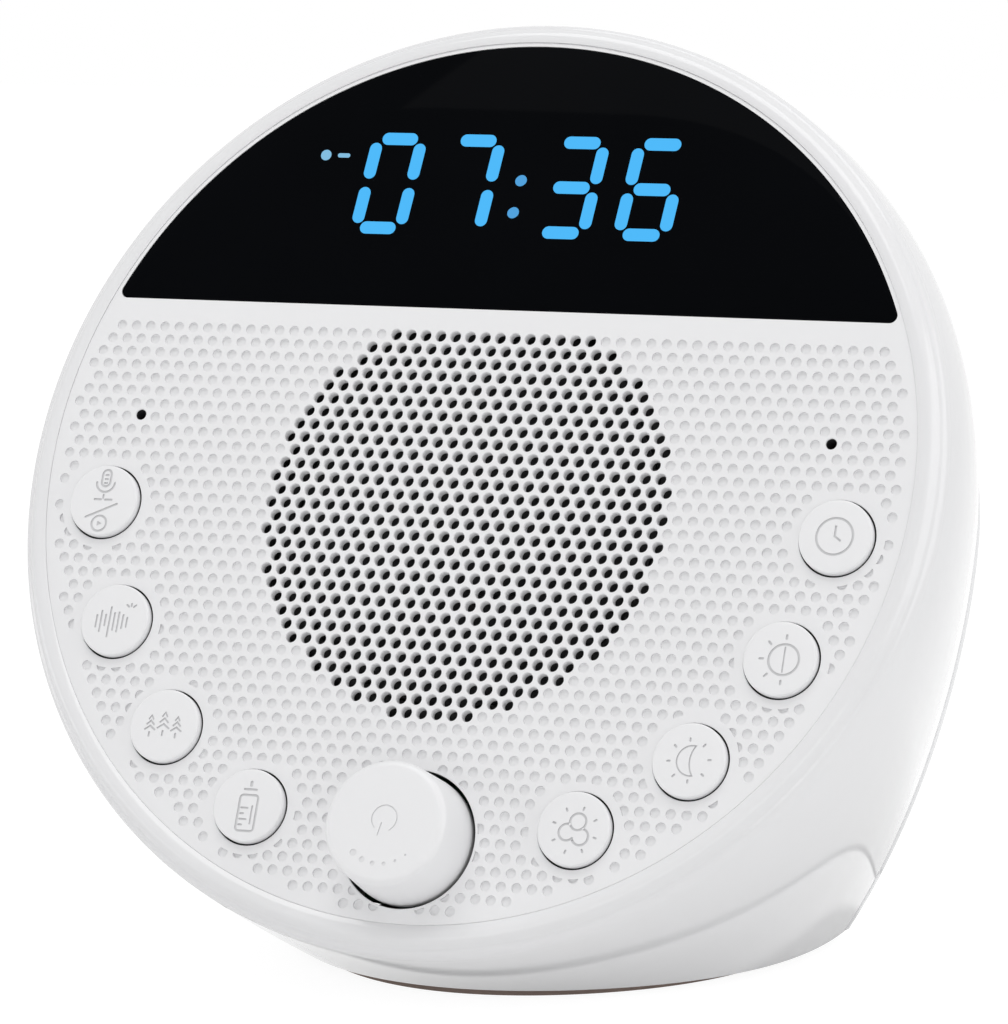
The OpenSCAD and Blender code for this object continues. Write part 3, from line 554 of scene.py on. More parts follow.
def make_foot(shell):
    """The rubber pad follows the shell's flat base, set in a little more towards the back."""
    edge = 0.25
    back_start, back_reach = 6.0, 20.0
    base = [v.co.xy / MM for v in shell.data.vertices if abs(v.co.z / MM - FOOT_T) < 0.01]
    hull = [base[k] for k in convex_hull_2d(base)]
    middle = Vector((0, FOOT_MID))
    b = Build()

    def outline(z, extra):
        ring = []
        for p in hull:
            back = min(1.0, max(0.0, (p.y - back_start) / back_reach))
            side = (p.x / REAR_HALF_W) ** 2
            inset = (FOOT_INSET + FOOT_SIDE_INSET * side
                     + FOOT_BACK_INSET * back * back * (3 - 2 * back) + extra)
            ring.append((*(p - (p - middle).normalized() * inset), z))
        return b.ring(ring)

    rings = [outline(FOOT_T, 0.0), outline(edge, 0.0), outline(edge * 0.3, edge * 0.3), outline(0.0, edge)]
    b.bands(rings)
    b.cap(rings[0], (*middle, FOOT_T))
    b.cap(rings[-1], (*middle, 0.0))
    return add_piece("foot_pad", b, "foot_rubber", "case", replaces=["rubber_foot"])


def cover_outline(inset):
    """The rear outline with its flat bottom, as (x, z) points in order."""
    count, base = 220, 40
    bottom = FOOT_T + inset
    first = border(-math.pi / 2, 0.0, lambda a: rear_rim(a, inset)[1] < bottom)
    out = [rear_rim(first + (math.pi - 2 * first) * i / count, inset) for i in range(count + 1)]
    left, right = out[-1][0], out[0][0]
    return out + [(left + (right - left) * i / base, bottom) for i in range(1, base)]


COVER_ANGLES = [38, 142, -47, -133]
COVER_SPOT_INSET = 4.0
USB_W, USB_H, USB_Z, USB_GAP = 8.9, 3.2, 15.0, 0.25
SCREW_RECESS_R, SCREW_BORE_R = 2.5, 1.45
SCREW_RECESS_DEPTH = 1.6


def make_cover():
    edge, fillet = 0.22, 0.7
    b = Build()
    rings = []

    def outline(inset, y):
        rings.append(b.ring([(x, y, z) for x, z in cover_outline(inset)]))

    spots = [rear_rim(math.radians(a), COVER_SPOT_INSET) for a in COVER_ANGLES]
    half = (USB_W - USB_H) / 2
    slot_r = USB_H / 2 + USB_GAP
    usb = [(x + half, z + USB_Z) for x, z in arc(0, 0, slot_r, -90, 90, 12)]
    usb += [(x - half, z + USB_Z) for x, z in arc(0, 0, slot_r, 90, 270, 12)]
    recesses = [circle(x, z, SCREW_RECESS_R, 48) for x, z in spots]
    bores = [circle(x, z, SCREW_BORE_R, 48) for x, z in spots]

    def plate(inset, y, holes):
        """A flat sheet of the cover's outline with holes, stood up at the depth y."""
        start = len(b.points)
        found = b.sheet([cover_outline(inset)] + holes, 0.0)
        for i in range(start, len(b.points)):
            x, z, _ = b.points[i]
            b.points[i] = (x, y, z)
        return found

    front = plate(edge, SEAM_Y, [usb] + bores)
    outline(0.0, SEAM_Y + edge)
    outline(0.0, REAR_Y - fillet)
    for k in range(1, 6):
        a = math.radians(90 * k / 6)
        outline(fillet * (1 - math.cos(a)), REAR_Y - fillet * (1 - math.sin(a)))
    back = plate(fillet, REAR_Y, [usb] + recesses)
    b.band(front[0], rings[0])
    b.bands(rings)
    b.band(rings[-1], back[0])
    b.band(front[1], back[1])
    floor_y = REAR_Y - SCREW_RECESS_DEPTH
    for i in range(len(spots)):
        rim = b.ring([(x, floor_y, z) for x, z in recesses[i]])
        mouth = b.ring([(x, floor_y, z) for x, z in bores[i]])
        b.band(back[2 + i], rim)
        b.band(rim, mouth)
        b.band(mouth, front[2 + i])
    return add_piece("back_plate", b, "gloss_white", "case", replaces=["rear_cover"])


# ---------------------------------------------------------------- front panel

def button_spot(i):
    """The middle of the button i on the face: four go down the left side, four down the right."""
    side = -1 if i < 4 else 1
    down = math.radians(BUTTON_START + (i % 4) * BUTTON_STEP)
    return side * BUTTON_RING_R * math.cos(down), -BUTTON_RING_R * math.sin(down)


def lens_outline(r, bottom, corner, steps=160):
    """A circle's top segment above the height bottom, with rounded corners."""
    rise = bottom + corner
    half = math.sqrt((r - corner) ** 2 - rise ** 2)
    turn = math.degrees(math.atan2(rise, half))
    out = arc(half, rise, corner, -90, turn, 8)
    out += arc(0, 0, r, turn, 180 - turn, steps)[1:]
    out += arc(-half, rise, corner, 180 - turn, 270, 8)[1:]
    return out


def lattice():
    """Every point of the hexagonal pattern, with True for those that are grille holes."""
    lens_limit = LENS_BOTTOM - PITCH
    for j in LATTICE_ROWS:
        y = (j - 1) * ROW_H - SPEAKER_DROP
        if y > lens_limit:
            continue
        for i in LATTICE_COLUMNS:
            x = (i + (0.5 if j % 2 == 0 else 0)) * PITCH
            if math.hypot(x, y) <= DIMPLE_FIELD * PITCH:
                yield x, y, math.hypot(x, (j - 1) * ROW_H) <= GRILLE_R


def clipped(x, y, r, rings, n=HOLE_POINTS):
    """The part of a small circle outside the plain rings, or None where little is left."""
    for cx, cy, big in rings:
        d = math.hypot(x - cx, y - cy)
        if d >= big + r:
            continue
        if d <= big - r * 0.2:
            return None
        # the two circles cross: keep the small one's outer arc and follow the ring between the crossings
        along = (d * d + big * big - r * r) / (2 * d)
        toward = math.atan2(cy - y, cx - x)
        cut = math.acos(max(-1.0, min(1.0, (d - along) / r)))
        outer = arc(x, y, r, math.degrees(toward + cut), math.degrees(toward + TAU - cut), n - 6)
        swing = math.acos(max(-1.0, min(1.0, along / big)))
        back = toward + math.pi
        inner = arc(cx, cy, big, math.degrees(back + swing), math.degrees(back - swing), 6)
        if math.hypot(inner[0][0] - outer[-1][0], inner[0][1] - outer[-1][1]) > r * 0.5:
            inner.reverse()
        return outer + inner[1:-1]
    return circle(x, y, r, n)


def centroid(loop):
    return sum(p[0] for p in loop) / len(loop), sum(p[1] for p in loop) / len(loop)


def shrunk(loop, share):
    """The loop scaled about its middle."""
    cx, cy = centroid(loop)
    return [(cx + (p[0] - cx) * share, cy + (p[1] - cy) * share) for p in loop]


def panel_pattern():
    """The middles of the grille's holes, and the outlines of the dimples."""
    plain = [(*button_spot(i), BUTTON_PLAIN_R) for i in range(len(KEYS))]
    plain.append((0, -KNOB_DROP, KNOB_PLAIN_R))
    holes, dimples = [], []
    for x, y, is_hole in lattice():
        if is_hole:
            holes.append((x, y))
        elif all(math.hypot(x - px, y - py) >= PINHOLE_CLEAR for px, py in PINHOLES):
            loop = clipped(x, y, DIMPLE_R, plain)
            if loop:
                dimples.append(loop)
    return holes, dimples


def add_hole_wall(b, top, wide_loop, tight_loop, low, shaded):
    """A hole's wall from its rounded lip at the indices top down to the indices low."""
    mid = b.ring([((u[0] + 2 * v[0]) / 3, (u[1] + 2 * v[1]) / 3, -0.05)
                  for u, v in zip(wide_loop, tight_loop)])
    deep = b.ring(at_height(tight_loop, -0.2))
    b.bands([top, mid, deep])
    first_wall = len(b.faces)
    b.band(deep, low)
    # the deep walls of the wide holes are painted near black as shade
    if shaded:
        b.coat(first_wall, "gap_shade")


def add_dimple(b, top, loop):
    """A blind dimple below its lip at the indices top, with its wall painted slightly darker as shade."""
    rings = [top] + [b.ring(at_height(shrunk(loop, share), z)) for share, z in DIMPLE_PROFILE]
    b.bands(rings[:3])
    first_wall = len(b.faces)
    b.bands(rings[2:4])
    b.coat(first_wall, "dimple_shade")
    b.bands(rings[3:])
    b.cap(rings[-1], (*centroid(loop), -DIMPLE_DEPTH))


def make_panel():
    b = Build()
    n_outer = 360
    edge, lip, hole_lip = 0.08, 0.08, 0.09
    outer_r = FACE_R - EDGE_GAP
    holes, dimples = panel_pattern()
    wide = [(*button_spot(i), BUTTON_R + BUTTON_GAP, 72) for i in range(len(KEYS))]
    wide.append((0, -KNOB_DROP, KNOB_R + KNOB_GAP, 120))
    wide += [(x, y, PINHOLE_R, 24) for x, y in PINHOLES]

    small_top = [circle(x, y, HOLE_R + hole_lip, HOLE_POINTS) for x, y in holes]
    small_low = [circle(x, y, HOLE_R, HOLE_POINTS) for x, y in holes]
    wide_top = [circle(x, y, r + lip, n) for x, y, r, n in wide]
    wide_low = [circle(x, y, r, n) for x, y, r, n in wide]
    pocket = lens_outline(LENS_R, LENS_BOTTOM, 1.0)
    turn = math.degrees(math.asin((RECESS_TOP + SPEAKER_DROP) / RECESS_R))
    recess = arc(0, -SPEAKER_DROP, RECESS_R, 180 - turn, 360 + turn, 140)
    top = b.sheet([circle(0, 0, outer_r - edge, n_outer)] + small_top + wide_top + dimples + [pocket], 0.0)
    low = b.sheet([circle(0, 0, outer_r, n_outer), recess] + wide_low, -PANEL_T)
    roof = b.sheet([recess] + small_low, -GRILLE_T)
    b.band(low[1], roof[0])

    rim = [b.ring(r) for r in lathe(rounded_rim(outer_r, 0.0, edge, 30), n_outer)]
    b.bands([top[0]] + rim + [low[0]])

    lows = roof[1:] + low[2:]
    for k, (wide_loop, tight_loop) in enumerate(zip(small_top + wide_top, small_low + wide_low)):
        add_hole_wall(b, top[1 + k], wide_loop, tight_loop, lows[k], shaded=k >= len(holes))
    first = 1 + len(holes) + len(wide)
    for k, loop in enumerate(dimples):
        add_dimple(b, top[first + k], loop)

    floor = b.sheet([pocket], -LENS_T - LENS_SINK)
    b.band(top[-1], floor[0])
    return add_piece("face_panel", b, "matt_white", "case", FACE, smooth=40.0,
                     replaces=["front_panel"])


def make_lens():
    b = Build()
    gap, corner, edge = 0.06, 0.94, 0.12
    r, bottom = LENS_R - gap, LENS_BOTTOM + gap
    top_z, low_z = -LENS_SINK + 0.1, -LENS_T - LENS_SINK

    def loop(inset):
        return lens_outline(r - inset, bottom + inset, corner - inset)

    top = b.sheet([loop(edge)], top_z)[0]
    bevel = b.ring(at_height(loop(edge * 0.3), top_z - edge * 0.3))
    side = b.ring(at_height(loop(0), top_z - edge))
    low = b.sheet([loop(0)], low_z)[0]
    b.bands([top, bevel, side, low])
    return add_piece("clock_lens", b, "lens_black", "case", FACE, replaces=["display_lens"])


# ---------------------------------------------------------------- marks

# stroke widths
STROKE, RAY_W, THIN, FINE, KNOB_STROKE = 0.31, 0.28, 0.26, 0.24, 0.16


def capsule(p, q, w=STROKE, n=7):
    """A round-ended stroke from p to q."""
    a = math.degrees(math.atan2(q[1] - p[1], q[0] - p[0]))
    return arc(q[0], q[1], w / 2, a - 90, a + 90, n) + arc(p[0], p[1], w / 2, a + 90, a + 270, n)


def ring_mark(x, y, r, n=48):
    """A full ring: an outer and an inner loop."""
    return [circle(x, y, r + STROKE / 2, n), circle(x, y, r - STROKE / 2, n)]


def arc_mark(x, y, r, first, last, w=STROKE):
    """A stroke along an arc with round ends."""
    steps = max(6, int(abs(last - first) / 8))
    outer = arc(x, y, r + w / 2, first, last, steps)
    inner = arc(x, y, r - w / 2, last, first, steps)
    last_end = arc(*on_circle(x, y, r, last), w / 2, last, last + 180, 5)
    first_end = arc(*on_circle(x, y, r, first), w / 2, first + 180, first + 360, 5)
    return outer + last_end[1:-1] + inner + first_end[1:-1]


def path_mark(points, w=RAY_W):
    """A mitred stroke through a few points."""
    left, right = [], []
    for i, p in enumerate(points):
        a = points[max(0, i - 1)]
        c = points[min(len(points) - 1, i + 1)]
        d1 = Vector((p[0] - a[0], p[1] - a[1])) if i else Vector((c[0] - p[0], c[1] - p[1]))
        d2 = Vector((c[0] - p[0], c[1] - p[1])) if i < len(points) - 1 else d1
        n = (d1.normalized() + d2.normalized()).normalized()
        grow = 1 / max(0.5, n.dot(d1.normalized()))
        side = Vector((-n.y, n.x)) * (w / 2 * grow)
        left.append((p[0] + side.x, p[1] + side.y))
        right.append((p[0] - side.x, p[1] - side.y))
    return left + right[::-1]


def rays(x, y, r, length, first, step, count, w=RAY_W):
    """Short strokes that point away from the middle, by angles in degrees."""
    turns = [first + step * k for k in range(count)]
    return [capsule(on_circle(x, y, r, turn), on_circle(x, y, r + length, turn), w) for turn in turns]


def rounded_box(left, right, low, top, r, grow):
    """A box with corners of the radius r, made fuller by grow on all sides."""
    corners = [(right - r, top - r, 90), (right - r, low + r, 0), (left + r, low + r, -90),
               (left + r, top - r, 180)]
    return [p for x, y, turn in corners for p in arc(x, y, r + grow, turn, turn - 90, 5)]


def inset_loop(loop, depth):
    """The loop moved inwards by a depth along its own normals."""
    out = []
    n = len(loop)
    area = sum(loop[i][0] * loop[(i + 1) % n][1] - loop[(i + 1) % n][0] * loop[i][1] for i in range(n))
    sign = 1 if area > 0 else -1
    for i in range(n):
        a, p, c = loop[i - 1], loop[i], loop[(i + 1) % n]
        d1 = Vector((p[0] - a[0], p[1] - a[1])).normalized()
        d2 = Vector((c[0] - p[0], c[1] - p[1])).normalized()
        n1, n2 = Vector((-d1.y, d1.x)), Vector((-d2.y, d2.x))
        m = (n1 + n2)
        if m.length < 1e-6:
            m = n1
        m.normalize()
        grow = min(4.0, 1 / max(0.2, m.dot(n1)))
        out.append((p[0] + m.x * depth * sign * grow, p[1] + m.y * depth * sign * grow))
    return out


def record_mark():
    """A microphone over a play sign, with a slash between them."""
    x, top, low, half_w = -0.05, 3.58, 2.55, 0.62
    marks = [capsule((x, low), (x, top), 2 * (half_w + grow), 12) for grow in (STROKE / 2, -STROKE / 2)]
    marks += [capsule((-0.22, y), (0.14, y), THIN) for y in (3.5, 2.95, 2.4)]
    marks.append(arc_mark(x, 2.45, 1.3, 180, 360))
    marks += [capsule((-1.25, 0.1), (-0.35, 0.1)), capsule((0.25, 0.1), (1.2, 0.1))]
    marks.append(capsule((x, 0.3), (x, 0.75), THIN))
    marks.append(capsule((-2.1, -2.4), (2.1, -0.42)))
    marks += ring_mark(0.0, -3.2, 1.05)
    marks.append([(-0.28, -3.55), (0.42, -3.2), (-0.28, -2.85)])
    return marks


def sound_mark():
    """The bars of a sound wave and a small spark."""
    first_x, step = -2.54, 0.627
    bars = [(0.5, -1.1), (1.1, -1.7), (0.6, -0.85), (1.65, -2.35), (0.9, -1.4), (1.0, -1.6), (0.7, -1.1),
            (0.35, -0.9)]
    spark = [((1.5, 2.1), (1.8, 1.85)), ((2.15, 1.95), (2.15, 2.3)), ((2.5, 1.85), (2.8, 2.1))]
    marks = [capsule((first_x + step * k, low), (first_x + step * k, high), THIN)
             for k, (high, low) in enumerate(bars)]
    return marks + [capsule(p, q, FINE) for p, q in spark]


def chevron(x, y, reach, drop):
    """An open V that points up, as one outline."""
    t = THIN * 0.5
    return [
        (x, y + t), (x - reach - t * 0.4, y - drop), (x - reach + t * 0.9, y - drop - t * 1.3),
        (x, y - t * 1.5), (x + reach - t * 0.9, y - drop - t * 1.3), (x + reach + t * 0.4, y - drop),
    ]


def tree_mark(x, top, size):
    """A pine tree: three open tiers and a trunk."""
    tiers = [chevron(x, top - k * 0.78 * size, reach * size, 0.55 * size)
             for k, reach in enumerate((0.42, 0.66, 0.9))]
    return tiers + [capsule((x, top - 2.55 * size), (x, top - 3.1 * size), RAY_W)]


def nature_mark():
    return tree_mark(-1.9, 1.25, 0.9) + tree_mark(-0.03, 1.75, 1.0) + tree_mark(1.85, 1.25, 0.9)


def bottle_mark():
    """A feeding bottle with four levels."""
    box = (-1.2, 1.32, -3.4, 1.35, 0.45)
    levels = [(-0.35, 0.05), (-1.1, -0.45), (-1.85, 0.05), (-2.6, -0.45)]
    marks = [rounded_box(*box, STROKE / 2), rounded_box(*box, -STROKE / 2)]
    marks += [capsule((-0.75, 2.1), (0.9, 2.1)), capsule((0.06, 2.65), (0.06, 3.05), 0.42)]
    marks += [capsule((-0.85, y), (x, y), THIN) for y, x in levels]
    marks.append(capsule((0.68, -2.4), (0.68, -0.1), FINE))
    return marks


def clock_mark():
    return ring_mark(-0.05, 0.0, 2.4, n=72) + [path_mark([(-0.05, 1.45), (-0.05, 0.02), (0.8, -0.58)])]


def brightness_mark():
    """A ring with a line down its middle, and rays on its left."""
    x, y, r = 0.57, -0.12, 2.0
    marks = ring_mark(x, y, r, n=64)
    marks.append(capsule((x, y - r + 0.4), (x, y + r - 0.4), 0.22))
    return marks + rays(x, y, 2.75, 0.42, 90, 45, 5, STROKE)


def moon_mark():
    """A crescent as an outline, with rays round it."""
    tip_x, tip_y, middle_y = 0.9, 2.0, -0.08
    outer_r, inner_r = 2.1, 3.44
    outer_x = tip_x - math.sqrt(outer_r ** 2 - tip_y ** 2) + 0.15
    outer_turn = math.degrees(math.atan2(tip_y, tip_x - outer_x))
    outer = arc(outer_x, middle_y, math.hypot(tip_x - outer_x, tip_y), outer_turn, 360 - outer_turn, 40)
    inner_x = tip_x + math.sqrt(inner_r ** 2 - tip_y ** 2)
    inner_turn = math.degrees(math.atan2(tip_y, tip_x - inner_x))
    inner = arc(inner_x, middle_y, inner_r, 360 - inner_turn, inner_turn, 20)
    crescent = outer + inner[1:-1]
    return [crescent, inset_loop(crescent, 0.2)] + rays(0.07, -0.05, 2.55, 0.3, 4.5, 45, 8)


def color_mark():
    """Three rings that overlap like mixed lights, with rays round them."""
    marks = ring_mark(0.55, 0.92, 1.08)
    marks.append(arc_mark(-0.75, -0.5, 1.08, 72, 318))
    marks.append(arc_mark(1.1, -1.0, 1.08, -152, 78))
    return marks + rays(0.24, -0.2, 2.8, 0.3, 29, 45, 8)


MARKS = {
    "record": record_mark, "sound": sound_mark, "nature": nature_mark, "lullaby": bottle_mark,
    "clock": clock_mark, "brightness": brightness_mark, "night_light": moon_mark, "color": color_mark,
}


def engraved_top(b, rim_r, n, z, loops, depth, paint="mark_grey"):
    """A round flat top with sunk marks whose walls and floors are painted with the paint as shade. Returns
    the indices of its rim.
    """
    top = b.sheet([circle(0, 0, rim_r, n)] + loops, z)
    first = len(b.faces)
    low = b.sheet(loops, z - depth)
    for upper, lower in zip(top[1:], low):
        b.band(upper, lower)
    b.coat(first, paint)
    return top[0]


def make_button(i, key):
    edge, n = 0.26, 96
    mark_depth, wall_low = 0.14, -0.25
    flange_top = -PANEL_T - 0.15
    flange_low = flange_top - 1
    flange_r, stem_r, stem_low = BUTTON_R + 0.85, 1.9, -5.4
    b = Build()
    # the marks are sunk, and their walls and floors are painted grey as shade
    rim = engraved_top(b, BUTTON_R - edge, n, BUTTON_RISE, MARKS[key](), mark_depth)
    rings = [rim] + [b.ring(r) for r in lathe(rounded_rim(BUTTON_R, BUTTON_RISE, edge, 15), n)]
    b.bands(rings)
    low_side = b.ring(lathe([(BUTTON_R, wall_low)], n)[0])
    b.band(rings[-1], low_side)
    # the cap's side below the panel and the top of its flange are painted near black as shade
    first = len(b.faces)
    hidden = [(BUTTON_R, flange_top), (flange_r, flange_top), (flange_r, flange_low), (stem_r, flange_low),
              (stem_r, stem_low)]
    rings = [low_side] + [b.ring(r) for r in lathe(hidden, n)]
    b.bands(rings[:3])
    b.coat(first, "gap_shade")
    b.bands(rings[2:])
    b.cap(rings[-1], (0, 0, stem_low))
    x, y = button_spot(i)
    return add_piece(key + "_cap", b, "button_white", key + "_key",
                     FACE @ Matrix.Translation((x, y, 0)), replaces=[key + "_button"])


# the knob's dots on a ring: their angles in degrees and their radii
KNOB_DOT_RING_R = 5.45
KNOB_DOTS = [(-129.4, 0.46), (-113.1, 0.4), (-96.7, 0.33), (-80.1, 0.27), (-64.2, 0.2), (-48.0, 0.14)]


def make_knob():
    edge, n = 1.0, 144
    mark_depth, wall, top_t, skirt_low = 0.12, 1.3, 1.5, -1.2
    b = Build()
    power = [arc_mark(0, 0.45, 1.7, 302, 587, KNOB_STROKE),
             capsule((-0.3, -0.15), (-0.6, -1.75), KNOB_STROKE)]
    dots = [circle(*on_circle(0, 0, KNOB_DOT_RING_R, turn), r, 20) for turn, r in KNOB_DOTS]
    # the power sign and dots are sunk and painted a little darker as shade
    rim = engraved_top(b, KNOB_TOP_R - edge, n, KNOB_H, power + dots, mark_depth, "knob_mark")
    profile = rounded_rim(KNOB_TOP_R, KNOB_H, edge, 9)
    profile += [(KNOB_R, 0.0), (KNOB_R, skirt_low), (KNOB_R - wall, skirt_low),
                (KNOB_TOP_R - wall, KNOB_H - top_t)]
    rings = [rim] + [b.ring(r) for r in lathe(profile, n)]
    b.bands(rings)
    b.cap(rings[-1], (0, 0, KNOB_H - top_t))
    return add_piece("volume_knob", b, "button_white", "knob_turn",
                     FACE @ Matrix.Translation((0, -KNOB_DROP, 0)), smooth=50.0, replaces=["knob_cap"])


# ---------------------------------------------------------------- lit display

DIGIT_MID_Y = 39.64
DIGIT_LEAN = math.tan(math.radians(4.5))
ROW_STEP = 6.3
SEGMENT_W = 1.72
SEGMENT_L = 5.1
DIGITS = [(-18.46, "0"), (-7.21, "7"), (7.49, "3"), (18.74, "6")]
SEGMENTS = {"0": "abcdef", "7": "abc", "3": "abcdg", "6": "acdefg"}
SEGMENT_PLACES = {
    "a": (0, 1, True), "b": (1, 0.5, False), "c": (1, -0.5, False), "d": (0, -1, True),
    "e": (-1, -0.5, False), "f": (-1, 0.5, False), "g": (0, 0, True),
}
SEGMENT_REACH = 3.15
COLON_X = 0.19
COLON_ROWS = (0.13, -0.585)
MARK_X, MARK_Y = -28.26, 43.44
LIT_T = 0.03


def thin_plate(b, loop):
    """A lit mark: a thin plate in the plane of the face."""
    top = b.sheet([loop], LIT_T)[0]
    low = b.sheet([loop], -LIT_T)[0]
    b.band(top, low)


def leaning(x, y):
    return x + (y - DIGIT_MID_Y) * DIGIT_LEAN, y


def make_digits():
    reach = (SEGMENT_L - SEGMENT_W) / 2
    for k, (mid_x, digit) in enumerate(DIGITS):
        b = Build()
        for name in SEGMENTS[digit]:
            side, row, flat = SEGMENT_PLACES[name]
            x, y = mid_x + side * SEGMENT_REACH, DIGIT_MID_Y + row * ROW_STEP
            if flat:
                cx, cy = leaning(x, y)
                ends = (cx - reach, cy), (cx + reach, cy)
            else:
                ends = leaning(x, y - reach), leaning(x, y + reach)
            thin_plate(b, capsule(*ends, SEGMENT_W, 12))
        add_piece(f"digit_{k + 1}", b, "digit_blue", "case", FACE)
    b = Build()
    for row in COLON_ROWS:
        x, y = leaning(COLON_X, DIGIT_MID_Y + row * ROW_STEP)
        thin_plate(b, capsule((x - 0.06, y - 0.04), (x + 0.06, y + 0.04), 1.5, 8))
    add_piece("clock_colon", b, "colon_blue", "case", FACE)
    b = Build()
    thin_plate(b, circle(MARK_X, MARK_Y, 0.75, 24))
    thin_plate(b, capsule((MARK_X + 2.0, MARK_Y), (MARK_X + 3.2, MARK_Y), 0.6))
    add_piece("morning_light", b, "mark_blue", "case", FACE)


# ---------------------------------------------------------------- carried-over nodes

def finish_nodes():
    slots = {s["node"]: s["material_slot"] for s in frame["record"]["subparts"]}
    for name, node in frame["nodes"].items():
        node.data.materials.clear()
        node.data.materials.append(MATERIALS[slots[name]])


# ---------------------------------------------------------------- stage, light, camera

# painted reflections: how light the floor is in reflections only, by distance from the foot's middle in
# millimetres; a painted shadow near the foot, a painted pool of light, a thin painted dark line and grey
# beyond
FLOOR_REFLECTION_PAINT = [(39.0, 0.6), (41.0, 0.95), (50.8, 1.0), (51.4, 0.3), (52.2, 0.3), (52.8, 0.78), (75.0, 0.85),
               (110.0, 1.0)]
FLOOR_RAMP = 0.2  # metres, how far out the bands are set
FLOOR_LIGHT = 1.15
FLOOR_LIT_SHARE = 0.8
WORLD_LIGHT = 0.50
WHITE = (1, 1, 1, 1)


def grey(level):
    return level, level, level, 1


def maths(make, link, operation, *values):
    """A Math node's output. Each value is a number or a socket to link."""
    node = make("ShaderNodeMath")
    node.operation = operation
    for target, value in zip(node.inputs, values):
        if isinstance(value, (int, float)):
            target.default_value = value
        else:
            link(value, target)
    return node.outputs["Value"]


def make_stage():
    """A pale floor that keeps the object's shadow and that the camera sees as lit; reflections see it lit
    with painted bands, a painted shadow near the foot, a painted pool of light and a thin painted dark line.
    """
    half = 2.5
    mesh = bpy.data.meshes.new("floor")
    mesh.from_pydata([(-half, -half, 0), (half, -half, 0), (half, half, 0), (-half, half, 0)], [],
                     [(0, 1, 2, 3)])
    floor = bpy.data.objects.new("floor", mesh)
    bpy.context.scene.collection.objects.link(floor)
    m = bpy.data.materials.new("pale_floor")
    make, link = empty_tree(m)
    path = make("ShaderNodeLightPath")
    place = make("ShaderNodeTexCoord")
    reach = make("ShaderNodeVectorMath")
    reach.operation = "DISTANCE"
    reach.inputs[1].default_value = (0, FOOT_MID * MM, 0)
    link(place.outputs["Object"], reach.inputs[0])

    # painted reflections: bands of painted shadow, light and a dark line that only reflections see
    bands = make("ShaderNodeValToRGB")
    ramp = bands.color_ramp.elements
    ramp[0].color, ramp[1].color = grey(0.5), WHITE
    for distance, level in FLOOR_REFLECTION_PAINT:
        ramp.new(distance / FLOOR_RAMP * MM).color = grey(level)
    link(maths(make, link, "MULTIPLY", reach.outputs["Value"], 1 / FLOOR_RAMP), bands.inputs["Fac"])
    pick = make("ShaderNodeMix")
    pick.data_type = "RGBA"
    pick.inputs[6].default_value = WHITE
    link(path.outputs["Is Glossy Ray"], pick.inputs[0])
    link(bands.outputs["Color"], pick.inputs[7])

    paint = make("ShaderNodeBsdfDiffuse")
    paint.inputs["Color"].default_value = grey(0.93)
    light = make("ShaderNodeEmission")
    light.inputs["Strength"].default_value = FLOOR_LIGHT
    link(pick.outputs[2], light.inputs["Color"])
    seen = maths(make, link, "MAXIMUM", path.outputs["Is Camera Ray"], path.outputs["Is Glossy Ray"])
    mix = make("ShaderNodeMixShader")
    link(maths(make, link, "MULTIPLY", seen, FLOOR_LIT_SHARE), mix.inputs["Fac"])
    link(paint.outputs["BSDF"], mix.inputs[1])
    link(light.outputs["Emission"], mix.inputs[2])
    out = make("ShaderNodeOutputMaterial")
    link(mix.outputs["Shader"], out.inputs["Surface"])
    mesh.materials.append(m)


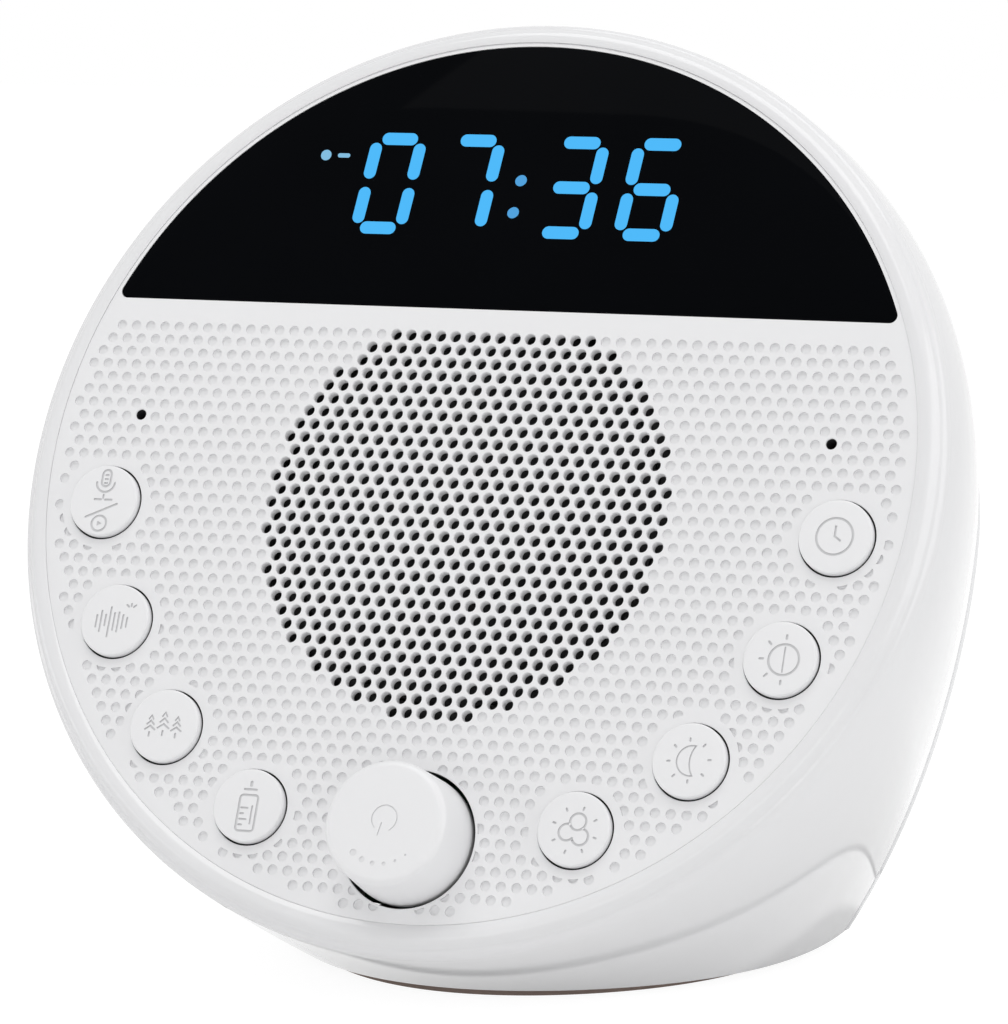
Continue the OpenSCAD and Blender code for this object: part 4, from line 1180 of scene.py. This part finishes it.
def make_world():
    """White for what the camera, reflections and glass see, and a plain soft light for the rest."""
    world = bpy.data.worlds.new("studio")
    bpy.context.scene.world = world
    make, link = empty_tree(world)
    path = make("ShaderNodeLightPath")
    seen = maths(make, link, "MAXIMUM", path.outputs["Is Camera Ray"], path.outputs["Is Glossy Ray"])
    seen = maths(make, link, "MAXIMUM", seen, path.outputs["Is Transmission Ray"])
    mix = make("ShaderNodeMixShader")
    link(seen, mix.inputs["Fac"])
    for strength, target in ((WORLD_LIGHT, mix.inputs[1]), (1.0, mix.inputs[2])):
        light = make("ShaderNodeBackground")
        light.inputs["Color"].default_value = WHITE
        light.inputs["Strength"].default_value = strength
        link(light.outputs["Background"], target)
    out = make("ShaderNodeOutputWorld")
    link(mix.outputs["Shader"], out.inputs["Surface"])


def softbox(name, place, size, watts):
    """A rectangular lamp that points at the object's middle."""
    light = bpy.data.lights.new(name, "AREA")
    light.shape = "RECTANGLE"
    light.size, light.size_y = size
    light.energy = watts
    obj = bpy.data.objects.new(name, light)
    bpy.context.scene.collection.objects.link(obj)
    obj.location = place
    aim = Vector((0, 0, 0.06)) - Vector(place)
    obj.rotation_euler = aim.to_track_quat("-Z", "Y").to_euler()


def make_lights():
    softbox("key", (-0.05, -0.25, 1.2), (0.9, 0.9), 5.9)
    softbox("left", (-1.25, -0.6, 0.08), (1.2, 0.4), 2.6)
    softbox("front", (0.3, -1.35, 0.06), (1.8, 0.3), 3.6)
    softbox("fill", (1.5, 0.05, 0.45), (1.5, 1.5), 9.0)


# the camera as solved from the photograph's pattern of holes: place in metres, angles in degrees
CAMERA_PLACE = (0.2728, -0.6702, 0.1460)
CAMERA_DOWN, CAMERA_TURN = 6.7984, 22.4295
CAMERA_LENS = 193.2


def make_camera():
    data = bpy.data.cameras.new("camera")
    data.sensor_fit = "VERTICAL"
    data.sensor_height = 36.0
    data.lens = CAMERA_LENS
    data.clip_start = 0.05
    cam = bpy.data.objects.new("camera", data)
    bpy.context.scene.collection.objects.link(cam)
    cam.location = CAMERA_PLACE
    cam.rotation_euler = (math.radians(90 - CAMERA_DOWN), 0, math.radians(CAMERA_TURN))
    bpy.context.scene.camera = cam


bpy.context.scene.view_settings.view_transform = "Standard"
finish_nodes()
make_foot(make_shell())
make_cover()
make_panel()
make_lens()
for number, key in enumerate(KEYS):
    make_button(number, key)
make_knob()
make_digits()
make_stage()
make_world()
make_lights()
make_camera()
